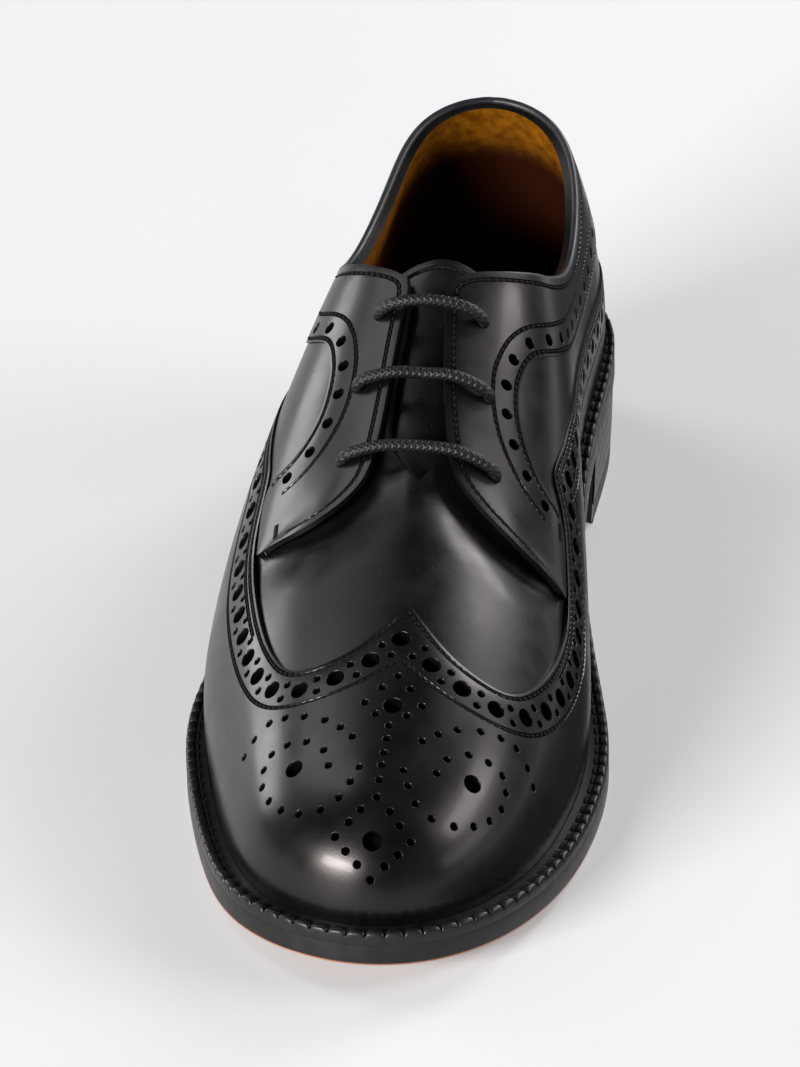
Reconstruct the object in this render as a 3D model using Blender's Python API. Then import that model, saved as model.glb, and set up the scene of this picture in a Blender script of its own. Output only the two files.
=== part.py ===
"""Derby shoe for the right foot: long wing cap, open lace facings, ribbed welt, stacked heel.

Metres, +Z up. The toe points to -Y, the inner (medial) side of the foot is at +X, the floor is z = 0.
The upper follows one surface, the last: ribs rise from the feather line (the edge of the sole seat) to a
ridge along the top of the foot. Pattern pieces are drawn flat on the unrolled ribs and laid on the last.
"""
import math
from collections import namedtuple

import bmesh
import bpy
import numpy as np
from mathutils import Vector
from mathutils.bvhtree import BVHTree
from mathutils.geometry import barycentric_transform

MM = 0.001

# Main sizes
SOLE_LENGTH = 300 * MM
BALL_WIDTH = 109 * MM
INSTEP_HEIGHT = 98 * MM
HEEL_HEIGHT = 26 * MM
TOE_SPRING = 7 * MM
HEEL_LENGTH = 74 * MM
TOP_PIECE_THICK = 6 * MM
OUTSOLE_THICK = 5.5 * MM
WELT_THICK = 3.4 * MM
RIB_PITCH = 4.8 * MM
RIB_DEPTH = 0.9 * MM
INSOLE_THICK = 2.5 * MM

# Leather: the last is the outer face of the overlays, every other layer lies inside it
GAP = 0.3 * MM
OVERLAY = 1.3 * MM
QUARTER = 0.7 * MM
WALL = 1.8 * MM
TONGUE = 1.6 * MM
LAYER_GAP = 0.8 * MM
BASE_TOP = OVERLAY + LAYER_GAP
TONGUE_TOP = BASE_TOP + WALL + LAYER_GAP + 2 * GAP

# Lace
LACE_RADIUS = 1.5 * MM
EYELET_RADIUS = 2.1 * MM
LACE_LIFT = LACE_RADIUS + 0.5 * MM

# Half-widths of the sole as shares of the ball width, with the curve of the middle line
Outline = namedtuple("Outline", "along middle lateral medial")
OUTLINE = (
    Outline(0.05, 0.000, 0.260, 0.260),
    Outline(0.13, 0.000, 0.314, 0.321),
    Outline(0.28, 0.000, 0.347, 0.313),
    Outline(0.42, 0.000, 0.421, 0.339),
    Outline(0.55, 0.004, 0.503, 0.408),
    Outline(0.66, 0.012, 0.530, 0.458),
    Outline(0.76, 0.022, 0.492, 0.446),
    Outline(0.86, 0.027, 0.418, 0.390),
    Outline(0.94, 0.027, 0.310, 0.287),
)
TOE_MIDDLE = 0.027
END_ROUNDNESS = (0.642, 0.663)

# Underside of the outsole, and how far the sole edge stands out past the upper
Bottom = namedtuple("Bottom", "along lift edge")
BOTTOM = (
    Bottom(0.00, HEEL_HEIGHT, 3.0 * MM),
    Bottom(0.12, 0.965 * HEEL_HEIGHT, 3.0 * MM),
    Bottom(0.24, 0.880 * HEEL_HEIGHT, 3.3 * MM),
    Bottom(0.32, 0.715 * HEEL_HEIGHT, 3.8 * MM),
    Bottom(0.42, 0.400 * HEEL_HEIGHT, 4.4 * MM),
    Bottom(0.52, 0.115 * HEEL_HEIGHT, 5.2 * MM),
    Bottom(0.60, 0.0, 5.8 * MM),
    Bottom(0.71, 0.0, 6.0 * MM),
    Bottom(0.80, 0.16 * TOE_SPRING, 6.0 * MM),
    Bottom(0.90, 0.54 * TOE_SPRING, 6.0 * MM),
    Bottom(1.00, TOE_SPRING, 6.0 * MM),
)

# Ridge of the last: height as a share of the instep height, fullness of the top and of the wall
Ridge = namedtuple("Ridge", "along side height crown wall")
RIDGE = (
    Ridge(0.093, -1.0 * MM, 1.245, 0.47, 0.38),
    Ridge(0.200, 0.5 * MM, 1.220, 0.54, 0.44),
    Ridge(0.317, 0.5 * MM, 1.133, 0.53, 0.48),
    Ridge(0.393, -1.5 * MM, 1.005, 0.53, 0.50),
    Ridge(0.500, -1.0 * MM, 0.847, 0.52, 0.52),
    Ridge(0.617, 1.5 * MM, 0.699, 0.52, 0.55),
    Ridge(0.740, 4.0 * MM, 0.592, 0.55, 0.58),
    Ridge(0.873, 4.0 * MM, 0.474, 0.58, 0.60),
)
RIDGE_EASE = 0.8
RIDGE_FULL = 0.985

# Outward lean of the wall at the feather line
Flare = namedtuple("Flare", "along lateral medial")
FLARE = (
    Flare(0.00, 0.16, 0.16),
    Flare(0.15, 0.14, 0.12),
    Flare(0.30, 0.35, 0.26),
    Flare(0.45, 0.47, 0.42),
    Flare(0.60, 0.39, 0.31),
    Flare(0.75, 0.20, 0.17),
    Flare(0.90, 0.12, 0.12),
    Flare(1.00, 0.12, 0.12),
)

# Collar line: height above the floor along the shoe
Collar = namedtuple("Collar", "along height")
COLLAR = (
    Collar(0.000, 96 * MM),
    Collar(0.040, 93 * MM),
    Collar(0.100, 86 * MM),
    Collar(0.200, 77.5 * MM),
    Collar(0.300, 79 * MM),
    Collar(0.360, 86 * MM),
    Collar(0.410, 99 * MM),
)


def spline(xs, ys):
    """Natural cubic through the rows of a table."""
    xs, ys = np.asarray(xs, float), np.asarray(ys, float)
    step = np.diff(xs)
    rise = np.diff(ys) / step
    size = len(xs)
    matrix = np.eye(size)
    right = np.zeros(size)
    for i in range(1, size - 1):
        matrix[i, i - 1:i + 2] = step[i - 1], 2 * (step[i - 1] + step[i]), step[i]
        right[i] = 6 * (rise[i] - rise[i - 1])
    bend = np.linalg.solve(matrix, right)

    def at(x):
        x = np.clip(np.asarray(x, float), xs[0], xs[-1])
        i = np.clip(np.searchsorted(xs, x) - 1, 0, size - 2)
        left, past, h = xs[i + 1] - x, x - xs[i], step[i]
        cubic = (bend[i] * left ** 3 + bend[i + 1] * past ** 3) / (6 * h)
        return cubic + (ys[i] / h - bend[i] * h / 6) * left + (ys[i + 1] / h - bend[i + 1] * h / 6) * past

    return at


def column(table, key, value):
    """Spline of one named column of a table over another."""
    return spline([getattr(row, key) for row in table], [getattr(row, value) for row in table])


def turn_of(along):
    """Angle round the half outline for a share of the length: 0 at the heel, pi at the toe."""
    return np.arccos(np.clip(1 - 2 * np.asarray(along, float), -1, 1))


def roundness(value):
    turns = turn_of([0.0] + [row.along for row in OUTLINE] + [1.0])
    widths = [getattr(row, value) for row in OUTLINE] / np.sin(turns[1:-1])
    return spline(turns, BALL_WIDTH * np.r_[END_ROUNDNESS[0], widths, END_ROUNDNESS[1]])


LATERAL, MEDIAL = roundness("lateral"), roundness("medial")
MIDDLE = spline([0.0] + [row.along for row in OUTLINE] + [1.0],
                BALL_WIDTH * np.array([0.0] + [row.middle for row in OUTLINE] + [TOE_MIDDLE]))
LIFT_CURVE, EDGE = column(BOTTOM, "along", "lift"), column(BOTTOM, "along", "edge")
RIDGE_SIDE, RIDGE_HEIGHT = column(RIDGE, "along", "side"), column(RIDGE, "along", "height")
CROWN, WALL_FULL = column(RIDGE, "along", "crown"), column(RIDGE, "along", "wall")
FLARE_LATERAL, FLARE_MEDIAL = column(FLARE, "along", "lateral"), column(FLARE, "along", "medial")
COLLAR_HEIGHT = column(COLLAR, "along", "height")


def sole_edge(loop):
    """Sole outline in plan at a share of the loop: 0 heel, lateral side, 0.5 toe, medial side, 1 heel."""
    loop = np.asarray(loop, float)
    turn = 2 * math.pi * np.where(loop <= 0.5, loop, 1 - loop)
    along = (1 - np.cos(turn)) / 2
    width = np.where(loop <= 0.5, -LATERAL(turn), MEDIAL(turn)) * np.sin(turn)
    return np.stack([MIDDLE(along) + width - SHIFT, SOLE_LENGTH * (0.5 - along)], -1)


SHIFT = 0.0
_ring = sole_edge(np.linspace(0, 1, 721))
SHIFT = (_ring[:, 0].min() + _ring[:, 0].max()) / 2


def edge_normal(loop):
    ahead = sole_edge(np.mod(loop + 1e-4, 1)) - sole_edge(np.mod(loop - 1e-4, 1))
    normal = np.stack([ahead[..., 1], -ahead[..., 0]], -1)
    return normal / np.linalg.norm(normal, axis=-1, keepdims=True)


def along_of(y):
    return np.clip(0.5 - y / SOLE_LENGTH, 0, 1)


def inset(loop, distance):
    """Sole outline drawn in by a distance."""
    loop = np.asarray(loop, float)
    return sole_edge(loop) - edge_normal(loop) * np.broadcast_to(distance, loop.shape)[..., None]


def feather(loop):
    """Outer face of the upper where it meets the sole."""
    return inset(loop, EDGE(along_of(sole_edge(loop)[..., 1])))


def sole_under(y):
    """Underside of the outsole, flat on the floor at the ball."""
    return np.maximum(LIFT_CURVE(along_of(y)), 0.0)


def sole_top(y):
    return sole_under(y) + OUTSOLE_THICK


def lean(loop):
    share = (1 - np.cos(2 * math.pi * np.asarray(loop))) / 2
    return np.where(np.asarray(loop) <= 0.5, FLARE_LATERAL(share), FLARE_MEDIAL(share))


def rib_frame(loop):
    """Ridge place, plan direction and control points of a rib, and the slope of the ridge there."""
    foot = feather(loop)
    foot_z = sole_top(foot[..., 1]) + GAP
    share = (1 - np.cos(2 * math.pi * loop)) / 2
    eased = share - RIDGE_EASE * np.sin(2 * math.pi * share) / (2 * math.pi)
    spot = RIDGE[0].along + (RIDGE[-1].along - RIDGE[0].along) * np.minimum(eased / RIDGE_FULL, 1)
    top = np.stack([RIDGE_SIDE(spot) - SHIFT, SOLE_LENGTH * (0.5 - spot)], -1)
    top_z = INSTEP_HEIGHT * RIDGE_HEIGHT(spot)
    slope = INSTEP_HEIGHT * (RIDGE_HEIGHT(spot + 1e-3) - RIDGE_HEIGHT(spot - 1e-3)) / (2e-3 * SOLE_LENGTH)
    way = foot - top
    span = np.linalg.norm(way, axis=-1)
    way = way / span[..., None]
    rise = (WALL_FULL(spot) * (top_z - foot_z))[..., None]
    reach = (CROWN(spot) * span)[..., None]
    first = np.concatenate([foot, foot_z[..., None]], -1)
    last = np.concatenate([top, top_z[..., None]], -1)
    second = first + rise * np.concatenate([lean(loop)[..., None] * way, np.ones_like(rise)], -1)
    third = last + reach * np.concatenate([way, (-way[..., 1] * slope)[..., None]], -1)
    return spot, way, (first, second, third, last), slope


def last_point(loop, climb):
    """Point of the last at a share of the loop and of the rib: 0 at the feather line, 1 at the ridge."""
    loop, climb = np.broadcast_arrays(np.asarray(loop, float), np.asarray(climb, float))
    first, second, third, last = rib_frame(loop)[2]
    t = climb[..., None]
    return (1 - t) ** 3 * first + 3 * (1 - t) ** 2 * t * second + 3 * (1 - t) * t ** 2 * third + t ** 3 * last


def last_normal(loop, climb):
    """Outward direction, led over to the ridge's own direction near the ridge."""
    loop, climb = np.broadcast_arrays(np.asarray(loop, float), np.asarray(climb, float))
    near = np.clip(climb, 0.002, 0.985)
    around = last_point(np.mod(loop + 5e-4, 1), near) - last_point(np.mod(loop - 5e-4, 1), near)
    upward = last_point(loop, near + 0.002) - last_point(loop, near - 0.002)
    normal = np.cross(around, upward)
    normal = normal / np.linalg.norm(normal, axis=-1, keepdims=True)
    slope = rib_frame(loop)[3]
    crest = np.stack([0 * slope, slope, np.ones_like(slope)], -1)
    crest = crest / np.linalg.norm(crest, axis=-1, keepdims=True)
    share = np.clip((climb - 0.94) / 0.06, 0, 1)[..., None]
    normal = normal + (crest - normal) * share
    return normal / np.linalg.norm(normal, axis=-1, keepdims=True)


def layer_point(loop, climb, depth):
    """Point at a depth inside the last, kept clear of the sole."""
    point = last_point(loop, climb) - last_normal(loop, climb) * depth
    point[..., 2] = np.maximum(point[..., 2], sole_top(point[..., 1]) + GAP)
    return point


def flat(loop, climb):
    """Place on the flat pattern: each rib unrolled in its plan direction from the ridge."""
    loop, climb = np.broadcast_arrays(np.asarray(loop, float), np.asarray(climb, float))
    spot, way = rib_frame(loop)[:2]
    steps = climb[..., None] + (1 - climb[..., None]) * np.linspace(0, 1, 17)
    run = last_point(loop[..., None], steps)
    length = np.linalg.norm(np.diff(run, axis=-2), axis=-1).sum(-1)
    return np.stack([way[..., 0] * length, SOLE_LENGTH * spot - way[..., 1] * length], -1)


class Pattern:
    """Finds the place on the last of points drawn on the flat pattern."""

    def __init__(self, ribs=90, rows=36):
        self.places = []
        corners, triangles = [], []
        for start, end in ((0.0, 0.5), (1.0, 0.5)):
            loops = start + (end - start) * np.linspace(0.0005, 1, ribs)
            grid = np.stack(np.meshgrid(loops, np.linspace(0, 1, rows), indexing="ij"), -1)
            base = len(self.places)
            self.places.extend(grid.reshape(-1, 2))
            corners.extend(flat(grid[..., 0], grid[..., 1]).reshape(-1, 2))
            for i in range(ribs - 1):
                for j in range(rows - 1):
                    a, b = base + i * rows + j, base + (i + 1) * rows + j
                    triangles += [(a, b, b + 1), (a, b + 1, a + 1)]
        self.corners = [Vector((x, y, 0.0)) for x, y in corners]
        self.triangles = triangles
        self.tree = BVHTree.FromPolygons(self.corners, triangles)

    def place(self, points):
        """Loop and climb of flat points."""
        found = []
        for x, y in np.reshape(points, (-1, 2)):
            spot, _, index, _ = self.tree.find_nearest(Vector((x, y, 0.0)))
            ids = self.triangles[index]
            goal = [Vector((*self.places[k], 0.0)) for k in ids]
            found.append(barycentric_transform(spot, *[self.corners[k] for k in ids], *goal)[:2])
        return np.reshape(found, np.shape(points))


PATTERN = Pattern()

# Wing cap: upper edge on the flat pattern (beside the ridge, from the heel) and the feather place below it
Wing = namedtuple("Wing", "loop beside ahead")
WING = (
    Wing(0.262, 47.4 * MM, 158.5 * MM),
    Wing(0.274, 48.3 * MM, 171.0 * MM),
    Wing(0.288, 47.4 * MM, 184.0 * MM),
    Wing(0.308, 44.6 * MM, 197.5 * MM),
    Wing(0.334, 40.6 * MM, 211.5 * MM),
    Wing(0.364, 34.8 * MM, 224.5 * MM),
    Wing(0.402, 26.0 * MM, 233.5 * MM),
    Wing(0.448, 12.3 * MM, 231.0 * MM),
    Wing(0.500, 0.0 * MM, 217.0 * MM),
)

# Lace facing: rear edge and front edge on the flat pattern, from its low corner to the top of the throat
Facing = namedtuple("Facing", "rear_beside rear_ahead front_beside front_ahead")
FACING = (
    Facing(46.7 * MM, 181.0 * MM, 43.5 * MM, 182.0 * MM),
    Facing(47.3 * MM, 171.0 * MM, 27.0 * MM, 184.5 * MM),
    Facing(46.3 * MM, 160.8 * MM, 14.5 * MM, 178.0 * MM),
    Facing(38.2 * MM, 158.4 * MM, 10.0 * MM, 167.5 * MM),
    Facing(30.6 * MM, 151.4 * MM, 7.9 * MM, 152.0 * MM),
    Facing(28.2 * MM, 141.5 * MM, 6.9 * MM, 139.0 * MM),
    Facing(29.6 * MM, 133.0 * MM, 6.0 * MM, 127.0 * MM),
    Facing(34.0 * MM, 126.5 * MM, 5.2 * MM, 120.5 * MM),
)
EYELETS = ((15.5 * MM, 127.5 * MM), (19.0 * MM, 147.0 * MM), (21.5 * MM, 168.0 * MM))

# Rear of the shoe: heights of the wing edge and of the lower edge of the collar band
Rear = namedtuple("Rear", "along wing band")
REAR = (
    Rear(0.000, 53.0 * MM, 72.0 * MM),
    Rear(0.060, 53.0 * MM, 68.0 * MM),
    Rear(0.130, 53.5 * MM, 64.0 * MM),
    Rear(0.200, 55.0 * MM, 62.5 * MM),
    Rear(0.270, 57.0 * MM, 64.0 * MM),
    Rear(0.330, 59.0 * MM, 67.5 * MM),
    Rear(0.375, 60.3 * MM, 72.5 * MM),
    Rear(0.405, 60.8 * MM, 77.0 * MM),
    Rear(0.460, 60.4 * MM, 90.0 * MM),
    Rear(0.520, 58.2 * MM, 99.0 * MM),
)
REAR_LOOPS = (0.0006, 0.020, 0.042, 0.066, 0.092, 0.120, 0.148, 0.174, 0.196, 0.212)
WING_LOOPS = REAR_LOOPS + (0.226, 0.238, 0.250)
WING_HEIGHT, BAND_HEIGHT = column(REAR, "along", "wing"), column(REAR, "along", "band")

# Throat slot of the upper, under the facings
Throat = namedtuple("Throat", "ahead half_gap")
THROAT = (
    Throat(100 * MM, 5.6 * MM),
    Throat(121 * MM, 5.9 * MM),
    Throat(138 * MM, 7.5 * MM),
    Throat(152 * MM, 8.6 * MM),
    Throat(161 * MM, 9.0 * MM),
    Throat(168 * MM, 7.0 * MM),
    Throat(174 * MM, 0.0 * MM),
    Throat(180 * MM, -9.0 * MM),
)
THROAT_GAP = column(THROAT, "ahead", "half_gap")

TONGUE_LENGTH = (109 * MM, 190 * MM)
TONGUE_HALF_WIDTH = (18 * MM, 22 * MM)
TONGUE_ARC = 3 * MM
UPPER_RIBS = 39
UPPER_ROWS = 7
SEAM = 0.5 * MM
FACING_STEPS = 15
BAND_STEPS = 17
QUARTER_START = 4

SIDES = {"lateral": -1, "medial": 1}


def round_loop(side, loop):
    return np.asarray(loop) if SIDES[side] < 0 else 1 - np.asarray(loop)


def shade(obj, colour, rough):
    material = bpy.data.materials.new(obj.name)
    material.use_nodes = True
    surface = material.node_tree.nodes["Principled BSDF"]
    surface.inputs["Base Color"].default_value = (*colour, 1)
    surface.inputs["Roughness"].default_value = rough
    obj.data.materials.append(material)


def make(name, points, faces, colour, rough, sharp=40, weld=0.25 * MM):
    """Closed solid from points and faces: seams welded, faces turned outward."""
    mesh = bpy.data.meshes.new(name)
    shape = bmesh.new()
    corners = [shape.verts.new(point) for point in np.reshape(points, (-1, 3))]
    for face in faces:
        shape.faces.new([corners[k] for k in face])
    bmesh.ops.remove_doubles(shape, verts=shape.verts, dist=weld)
    bmesh.ops.dissolve_degenerate(shape, edges=shape.edges, dist=0.01 * MM)
    bmesh.ops.triangulate(shape, faces=shape.faces, quad_method="BEAUTY")
    bmesh.ops.recalc_face_normals(shape, faces=shape.faces)
    if shape.calc_volume(signed=True) < 0:
        bmesh.ops.reverse_faces(shape, faces=shape.faces)
    shape.to_mesh(mesh)
    shape.free()
    mesh.shade_smooth()
    mesh.set_sharp_from_angle(angle=math.radians(sharp))
    obj = bpy.data.objects.new(name, mesh)
    bpy.context.collection.objects.link(obj)
    shade(obj, colour, rough)
    return obj


def grid_faces(columns, rows, start=0):
    return [(start + i * rows + j, start + (i + 1) * rows + j,
             start + (i + 1) * rows + j + 1, start + i * rows + j + 1)
            for i in range(columns - 1) for j in range(rows - 1)]


def slab(name, outer, inner, colour, rough, sharp=40):
    """Closed solid between two grids of points."""
    columns, rows = outer.shape[:2]
    size = columns * rows
    faces = grid_faces(columns, rows) + grid_faces(columns, rows, size)
    ring = [i * rows for i in range(columns)]
    ring += [(columns - 1) * rows + j for j in range(1, rows)]
    ring += [i * rows + rows - 1 for i in range(columns - 2, -1, -1)]
    ring += [j for j in range(rows - 2, 0, -1)]
    for a, b in zip(ring, ring[1:] + ring[:1]):
        faces.append((a, b, b + size, a + size))
    return make(name, np.concatenate([outer.reshape(-1, 3), inner.reshape(-1, 3)]), faces, colour, rough, sharp)


def smooth_rows(points, at):
    """Curve through the rows, resampled at row positions or to a number of points."""
    points = np.asarray(points)
    steps = np.arange(len(points))
    at = np.linspace(0, len(points) - 1, at) if np.ndim(at) == 0 else at
    return np.stack([spline(steps, points[:, k])(at) for k in range(points.shape[1])], -1)


def climb_at(loop, height):
    """Share of each rib at which it reaches a height."""
    climbs = np.linspace(0, 1, 161)
    found = []
    for one, goal in zip(np.ravel(loop), np.ravel(height)):
        found.append(np.interp(goal, last_point(np.full(161, one), climbs)[:, 2], climbs))
    return np.array(found)


def rear_line(side, loops, height, offset=0.0):
    """Flat places of a line at a table's height along the rear of one side."""
    share = (1 - np.cos(2 * math.pi * np.asarray(loops))) / 2
    around = round_loop(side, loops)
    return flat(around, climb_at(around, height(share) + offset))


def rib_end(loop):
    """Share of a rib where the collar or the throat cuts it, 1 where it runs to the ridge."""
    climbs = np.linspace(0, 1, 161)
    ends = []
    for one in np.ravel(loop):
        around = np.full(161, one)
        point, spread = last_point(around, climbs), flat(around, climbs)
        over = point[:, 2] - np.where(along_of(point[:, 1]) < COLLAR[-1].along,
                                      COLLAR_HEIGHT(along_of(point[:, 1])), 1.0)
        slot = THROAT_GAP(spread[:, 1]) - np.abs(spread[:, 0])
        level = np.maximum(over, np.where(spread[:, 1] > THROAT[0].ahead, slot, -1.0))
        past = np.nonzero(level > 0)[0]
        if len(past) == 0:
            ends.append(1.0)
        else:
            k = past[0]
            ends.append(climbs[k - 1] + (climbs[k] - climbs[k - 1]) * level[k - 1] / (level[k - 1] - level[k]))
    return np.array(ends)


def panel(name, low, high, rows, outside, inside, colour, rough, crowd=1.0):
    """Pattern piece between two flat lines, laid on the last between two depths."""
    share = np.linspace(0, 1, rows)[None, :, None] ** crowd
    place = PATTERN.place(low[:, None] + (high - low)[:, None] * share)
    loop, climb = place[..., 0], place[..., 1]
    return slab(name, layer_point(loop, climb, outside), layer_point(loop, climb, inside), colour, rough)


def drawn(side, rows, beside, ahead):
    return np.array([(SIDES[side] * getattr(row, beside), getattr(row, ahead)) for row in rows])


def build_upper(colour, rough):
    """Vamp, counter and lining as one shell, open at the collar, the throat and underneath."""
    points, faces = [], []
    for side in SIDES:
        loops = round_loop(side, np.linspace(0, 0.5, UPPER_RIBS + 1))
        ends = rib_end(loops)
        around = np.repeat(loops[:, None], UPPER_ROWS + 1, axis=1)
        climb = ends[:, None] * np.linspace(0, 1, UPPER_ROWS + 1)[None, :]
        start, rows = len(points), UPPER_ROWS + 1
        size = around.size
        points.extend(layer_point(around, climb, BASE_TOP).reshape(-1, 3))
        points.extend(layer_point(around, climb, BASE_TOP + WALL).reshape(-1, 3))
        faces += grid_faces(UPPER_RIBS + 1, rows, start) + grid_faces(UPPER_RIBS + 1, rows, start + size)
        for i in range(UPPER_RIBS):
            low, high = start + i * rows, start + i * rows + rows - 1
            faces.append((low, low + rows, low + rows + size, low + size))
            if min(ends[i], ends[i + 1]) < 1:
                faces.append((high, high + rows, high + rows + size, high + size))
    return make("upper", points, faces, colour, rough)


def wing_edge(side, at):
    """Feather places and flat upper edge of the wing cap at row positions, from the back seam to the peak."""
    loops = list(WING_LOOPS) + [row.loop for row in WING]
    high = np.concatenate([rear_line(side, WING_LOOPS, WING_HEIGHT), drawn(side, WING, "beside", "ahead")])
    return smooth_rows(np.array(loops)[:, None], at)[:, 0], smooth_rows(high, at)


def facing_edges(side):
    """Flat rear and front edges of a facing, from its low corner to the back seam."""
    low = smooth_rows(drawn(side, FACING, "rear_beside", "rear_ahead"), FACING_STEPS)
    high = smooth_rows(drawn(side, FACING, "front_beside", "front_ahead"), FACING_STEPS)
    loops = round_loop(side, np.array(REAR_LOOPS[::-1]))
    band = np.concatenate([low[-1:], rear_line(side, REAR_LOOPS[::-1], BAND_HEIGHT)])
    collar = np.concatenate([high[-1:], flat(loops, rib_end(loops))])
    low = np.concatenate([low, smooth_rows(band, BAND_STEPS)[1:]])
    high = np.concatenate([high, smooth_rows(collar, BAND_STEPS)[1:]])
    return low, high


def build_wing(colour, rough):
    """Pointed toe cap whose wings run along both sides to the back seam."""
    lows, highs = [], []
    rear, peak = len(WING_LOOPS), len(WING_LOOPS) + len(WING) - 1
    at = np.r_[0:rear, rear:peak - 2:0.5, np.linspace(peak - 2, peak, 7)]
    for side in SIDES:
        loops, high = wing_edge(side, at)
        low = flat(round_loop(side, loops), np.zeros(len(loops)))
        lows.append(low if SIDES[side] < 0 else low[-2::-1])
        highs.append(high if SIDES[side] < 0 else high[-2::-1])
    return panel("wing_cap", np.concatenate(lows), np.concatenate(highs), 9, 0.0, OVERLAY, colour, rough, 1.3)


def build_facing(side, colour, rough):
    """Eyelet facing with the collar band that runs from it to the back seam."""
    low, high = facing_edges(side)
    return panel("facing_" + side, low, high, 4, 0.0, OVERLAY, colour, rough)


def drawn_in(line, other):
    """Flat line moved a seam's width square to itself, towards another line."""
    ahead = np.gradient(line, axis=0)
    square = np.stack([-ahead[:, 1], ahead[:, 0]], -1)
    square = square / np.linalg.norm(square, axis=1, keepdims=True)
    return line + SEAM * np.sign(np.sum((other - line) * square)) * square


def build_quarter(side, colour, rough):
    """Panel between the wing and the facing, a seam's width from both."""
    upper = facing_edges(side)[0][QUARTER_START:]
    front = FACING_STEPS - QUARTER_START
    rear = len(REAR_LOOPS)
    at = np.r_[np.linspace(len(WING_LOOPS), rear, front), np.linspace(rear, 0, BAND_STEPS)[1:]]
    lower = wing_edge(side, at)[1]
    return panel("quarter_" + side, drawn_in(lower, upper), drawn_in(upper, lower), 3,
                 OVERLAY - QUARTER, OVERLAY, colour, rough)


def build_tongue(colour, rough):
    across = np.linspace(-1, 1, 10)
    top = np.stack([across * TONGUE_HALF_WIDTH[0], TONGUE_LENGTH[0] + TONGUE_ARC * across ** 2], -1)
    foot = np.stack([across * TONGUE_HALF_WIDTH[1], np.full(10, TONGUE_LENGTH[1])], -1)
    return panel("tongue", foot, top, 11, TONGUE_TOP, TONGUE_TOP + TONGUE, colour, rough)


def build_layer(name, distance, low, high, count, colour, rough, bulge=0.0):
    """Sole layer over the whole outline, between two heights that follow the length."""
    loops = np.linspace(0, 0.5, count)
    rings = []
    for reach, level in ((bulge, low), (0.0, lambda y: (low(y) + high(y)) / 2), (bulge, high)):
        left, right = (inset(side, distance(side) + reach) for side in (loops, 1 - loops))
        plan = np.stack([left + (right - left) * share for share in np.linspace(0, 1, 5)], 1)
        rings.append(np.concatenate([plan, level(plan[..., 1])[..., None]], -1))
    columns, rows = rings[0].shape[:2]
    size = columns * rows
    faces = grid_faces(columns, rows) + grid_faces(columns, rows, 2 * size)
    edge = [i * rows for i in range(columns)]
    edge += [i * rows + rows - 1 for i in range(columns - 2, 0, -1)]
    for a, b in zip(edge, edge[1:] + edge[:1]):
        faces += [(a, b, b + size, a + size), (a + size, b + size, b + 2 * size, a + 2 * size)]
    used = np.concatenate([ring.reshape(-1, 3) for ring in rings])
    return make(name, used, faces, colour, rough)


def build_welt(colour, rough):
    """Ring on the outsole round the upper: flat top, outer edge pressed into round ribs."""
    fine = np.linspace(0, 1, 2001)
    run = np.r_[0, np.cumsum(np.linalg.norm(np.diff(sole_edge(fine), axis=0), axis=1))]
    ribs = round(run[-1] / RIB_PITCH)
    loops = np.interp(np.arange(2 * ribs) / (2 * ribs) * run[-1], run, fine)
    crest = np.arange(2 * ribs) % 2
    edge = sole_edge(loops)
    width = EDGE(along_of(edge[:, 1]))
    near = width - 0.35 * MM
    leaned = near - lean(loops) * (WELT_THICK + GAP)
    profile = (
        (near, 0.0, 0.0),
        (RIB_DEPTH * (1 - crest), 0.15, 0.0),
        (0.2 * leaned + RIB_DEPTH * 0.6 * (1 - crest), 1.0, RIB_DEPTH * (1 - crest)),
        (leaned, 0.70, 0.0),
    )
    rings = []
    for distance, share, dip in profile:
        plan = inset(loops, distance)
        height = sole_top(plan[:, 1]) + GAP + share * WELT_THICK - dip * 0.8
        rings.append(np.column_stack([plan, height]))
    count, size = len(profile), len(loops)
    points = np.concatenate(rings)
    faces = []
    for k in range(count):
        for i in range(size):
            a, b = k * size + i, k * size + (i + 1) % size
            c, d = ((k + 1) % count) * size + i, ((k + 1) % count) * size + (i + 1) % size
            faces.append((a, b, d, c))
    return make("welt", points, faces, colour, rough, 60)


def build_heel_block(name, low, high, draw_in, colour, rough):
    """Heel layer with the outline of the sole seat and a curved breast."""
    turn = math.acos(1 - 2 * HEEL_LENGTH / SOLE_LENGTH) / (2 * math.pi)
    loops = np.concatenate([np.linspace(turn, 0, 12), np.linspace(1, 1 - turn, 12)[1:]])
    grids = []
    for level, distance in ((low, draw_in[0]), (high, draw_in[1])):
        rim = inset(loops, distance)
        share = np.linspace(0, 1, len(rim))
        front = rim[0] + (rim[-1] - rim[0]) * share[:, None]
        front[:, 1] += 5 * MM * 4 * share * (1 - share)
        plan = np.stack([rim + (front - rim) * k for k in np.linspace(0, 1, 3)], 1)
        grids.append(np.concatenate([plan, level(plan[..., 1])[..., None]], -1))
    return slab(name, grids[1], grids[0], colour, rough)


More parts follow.
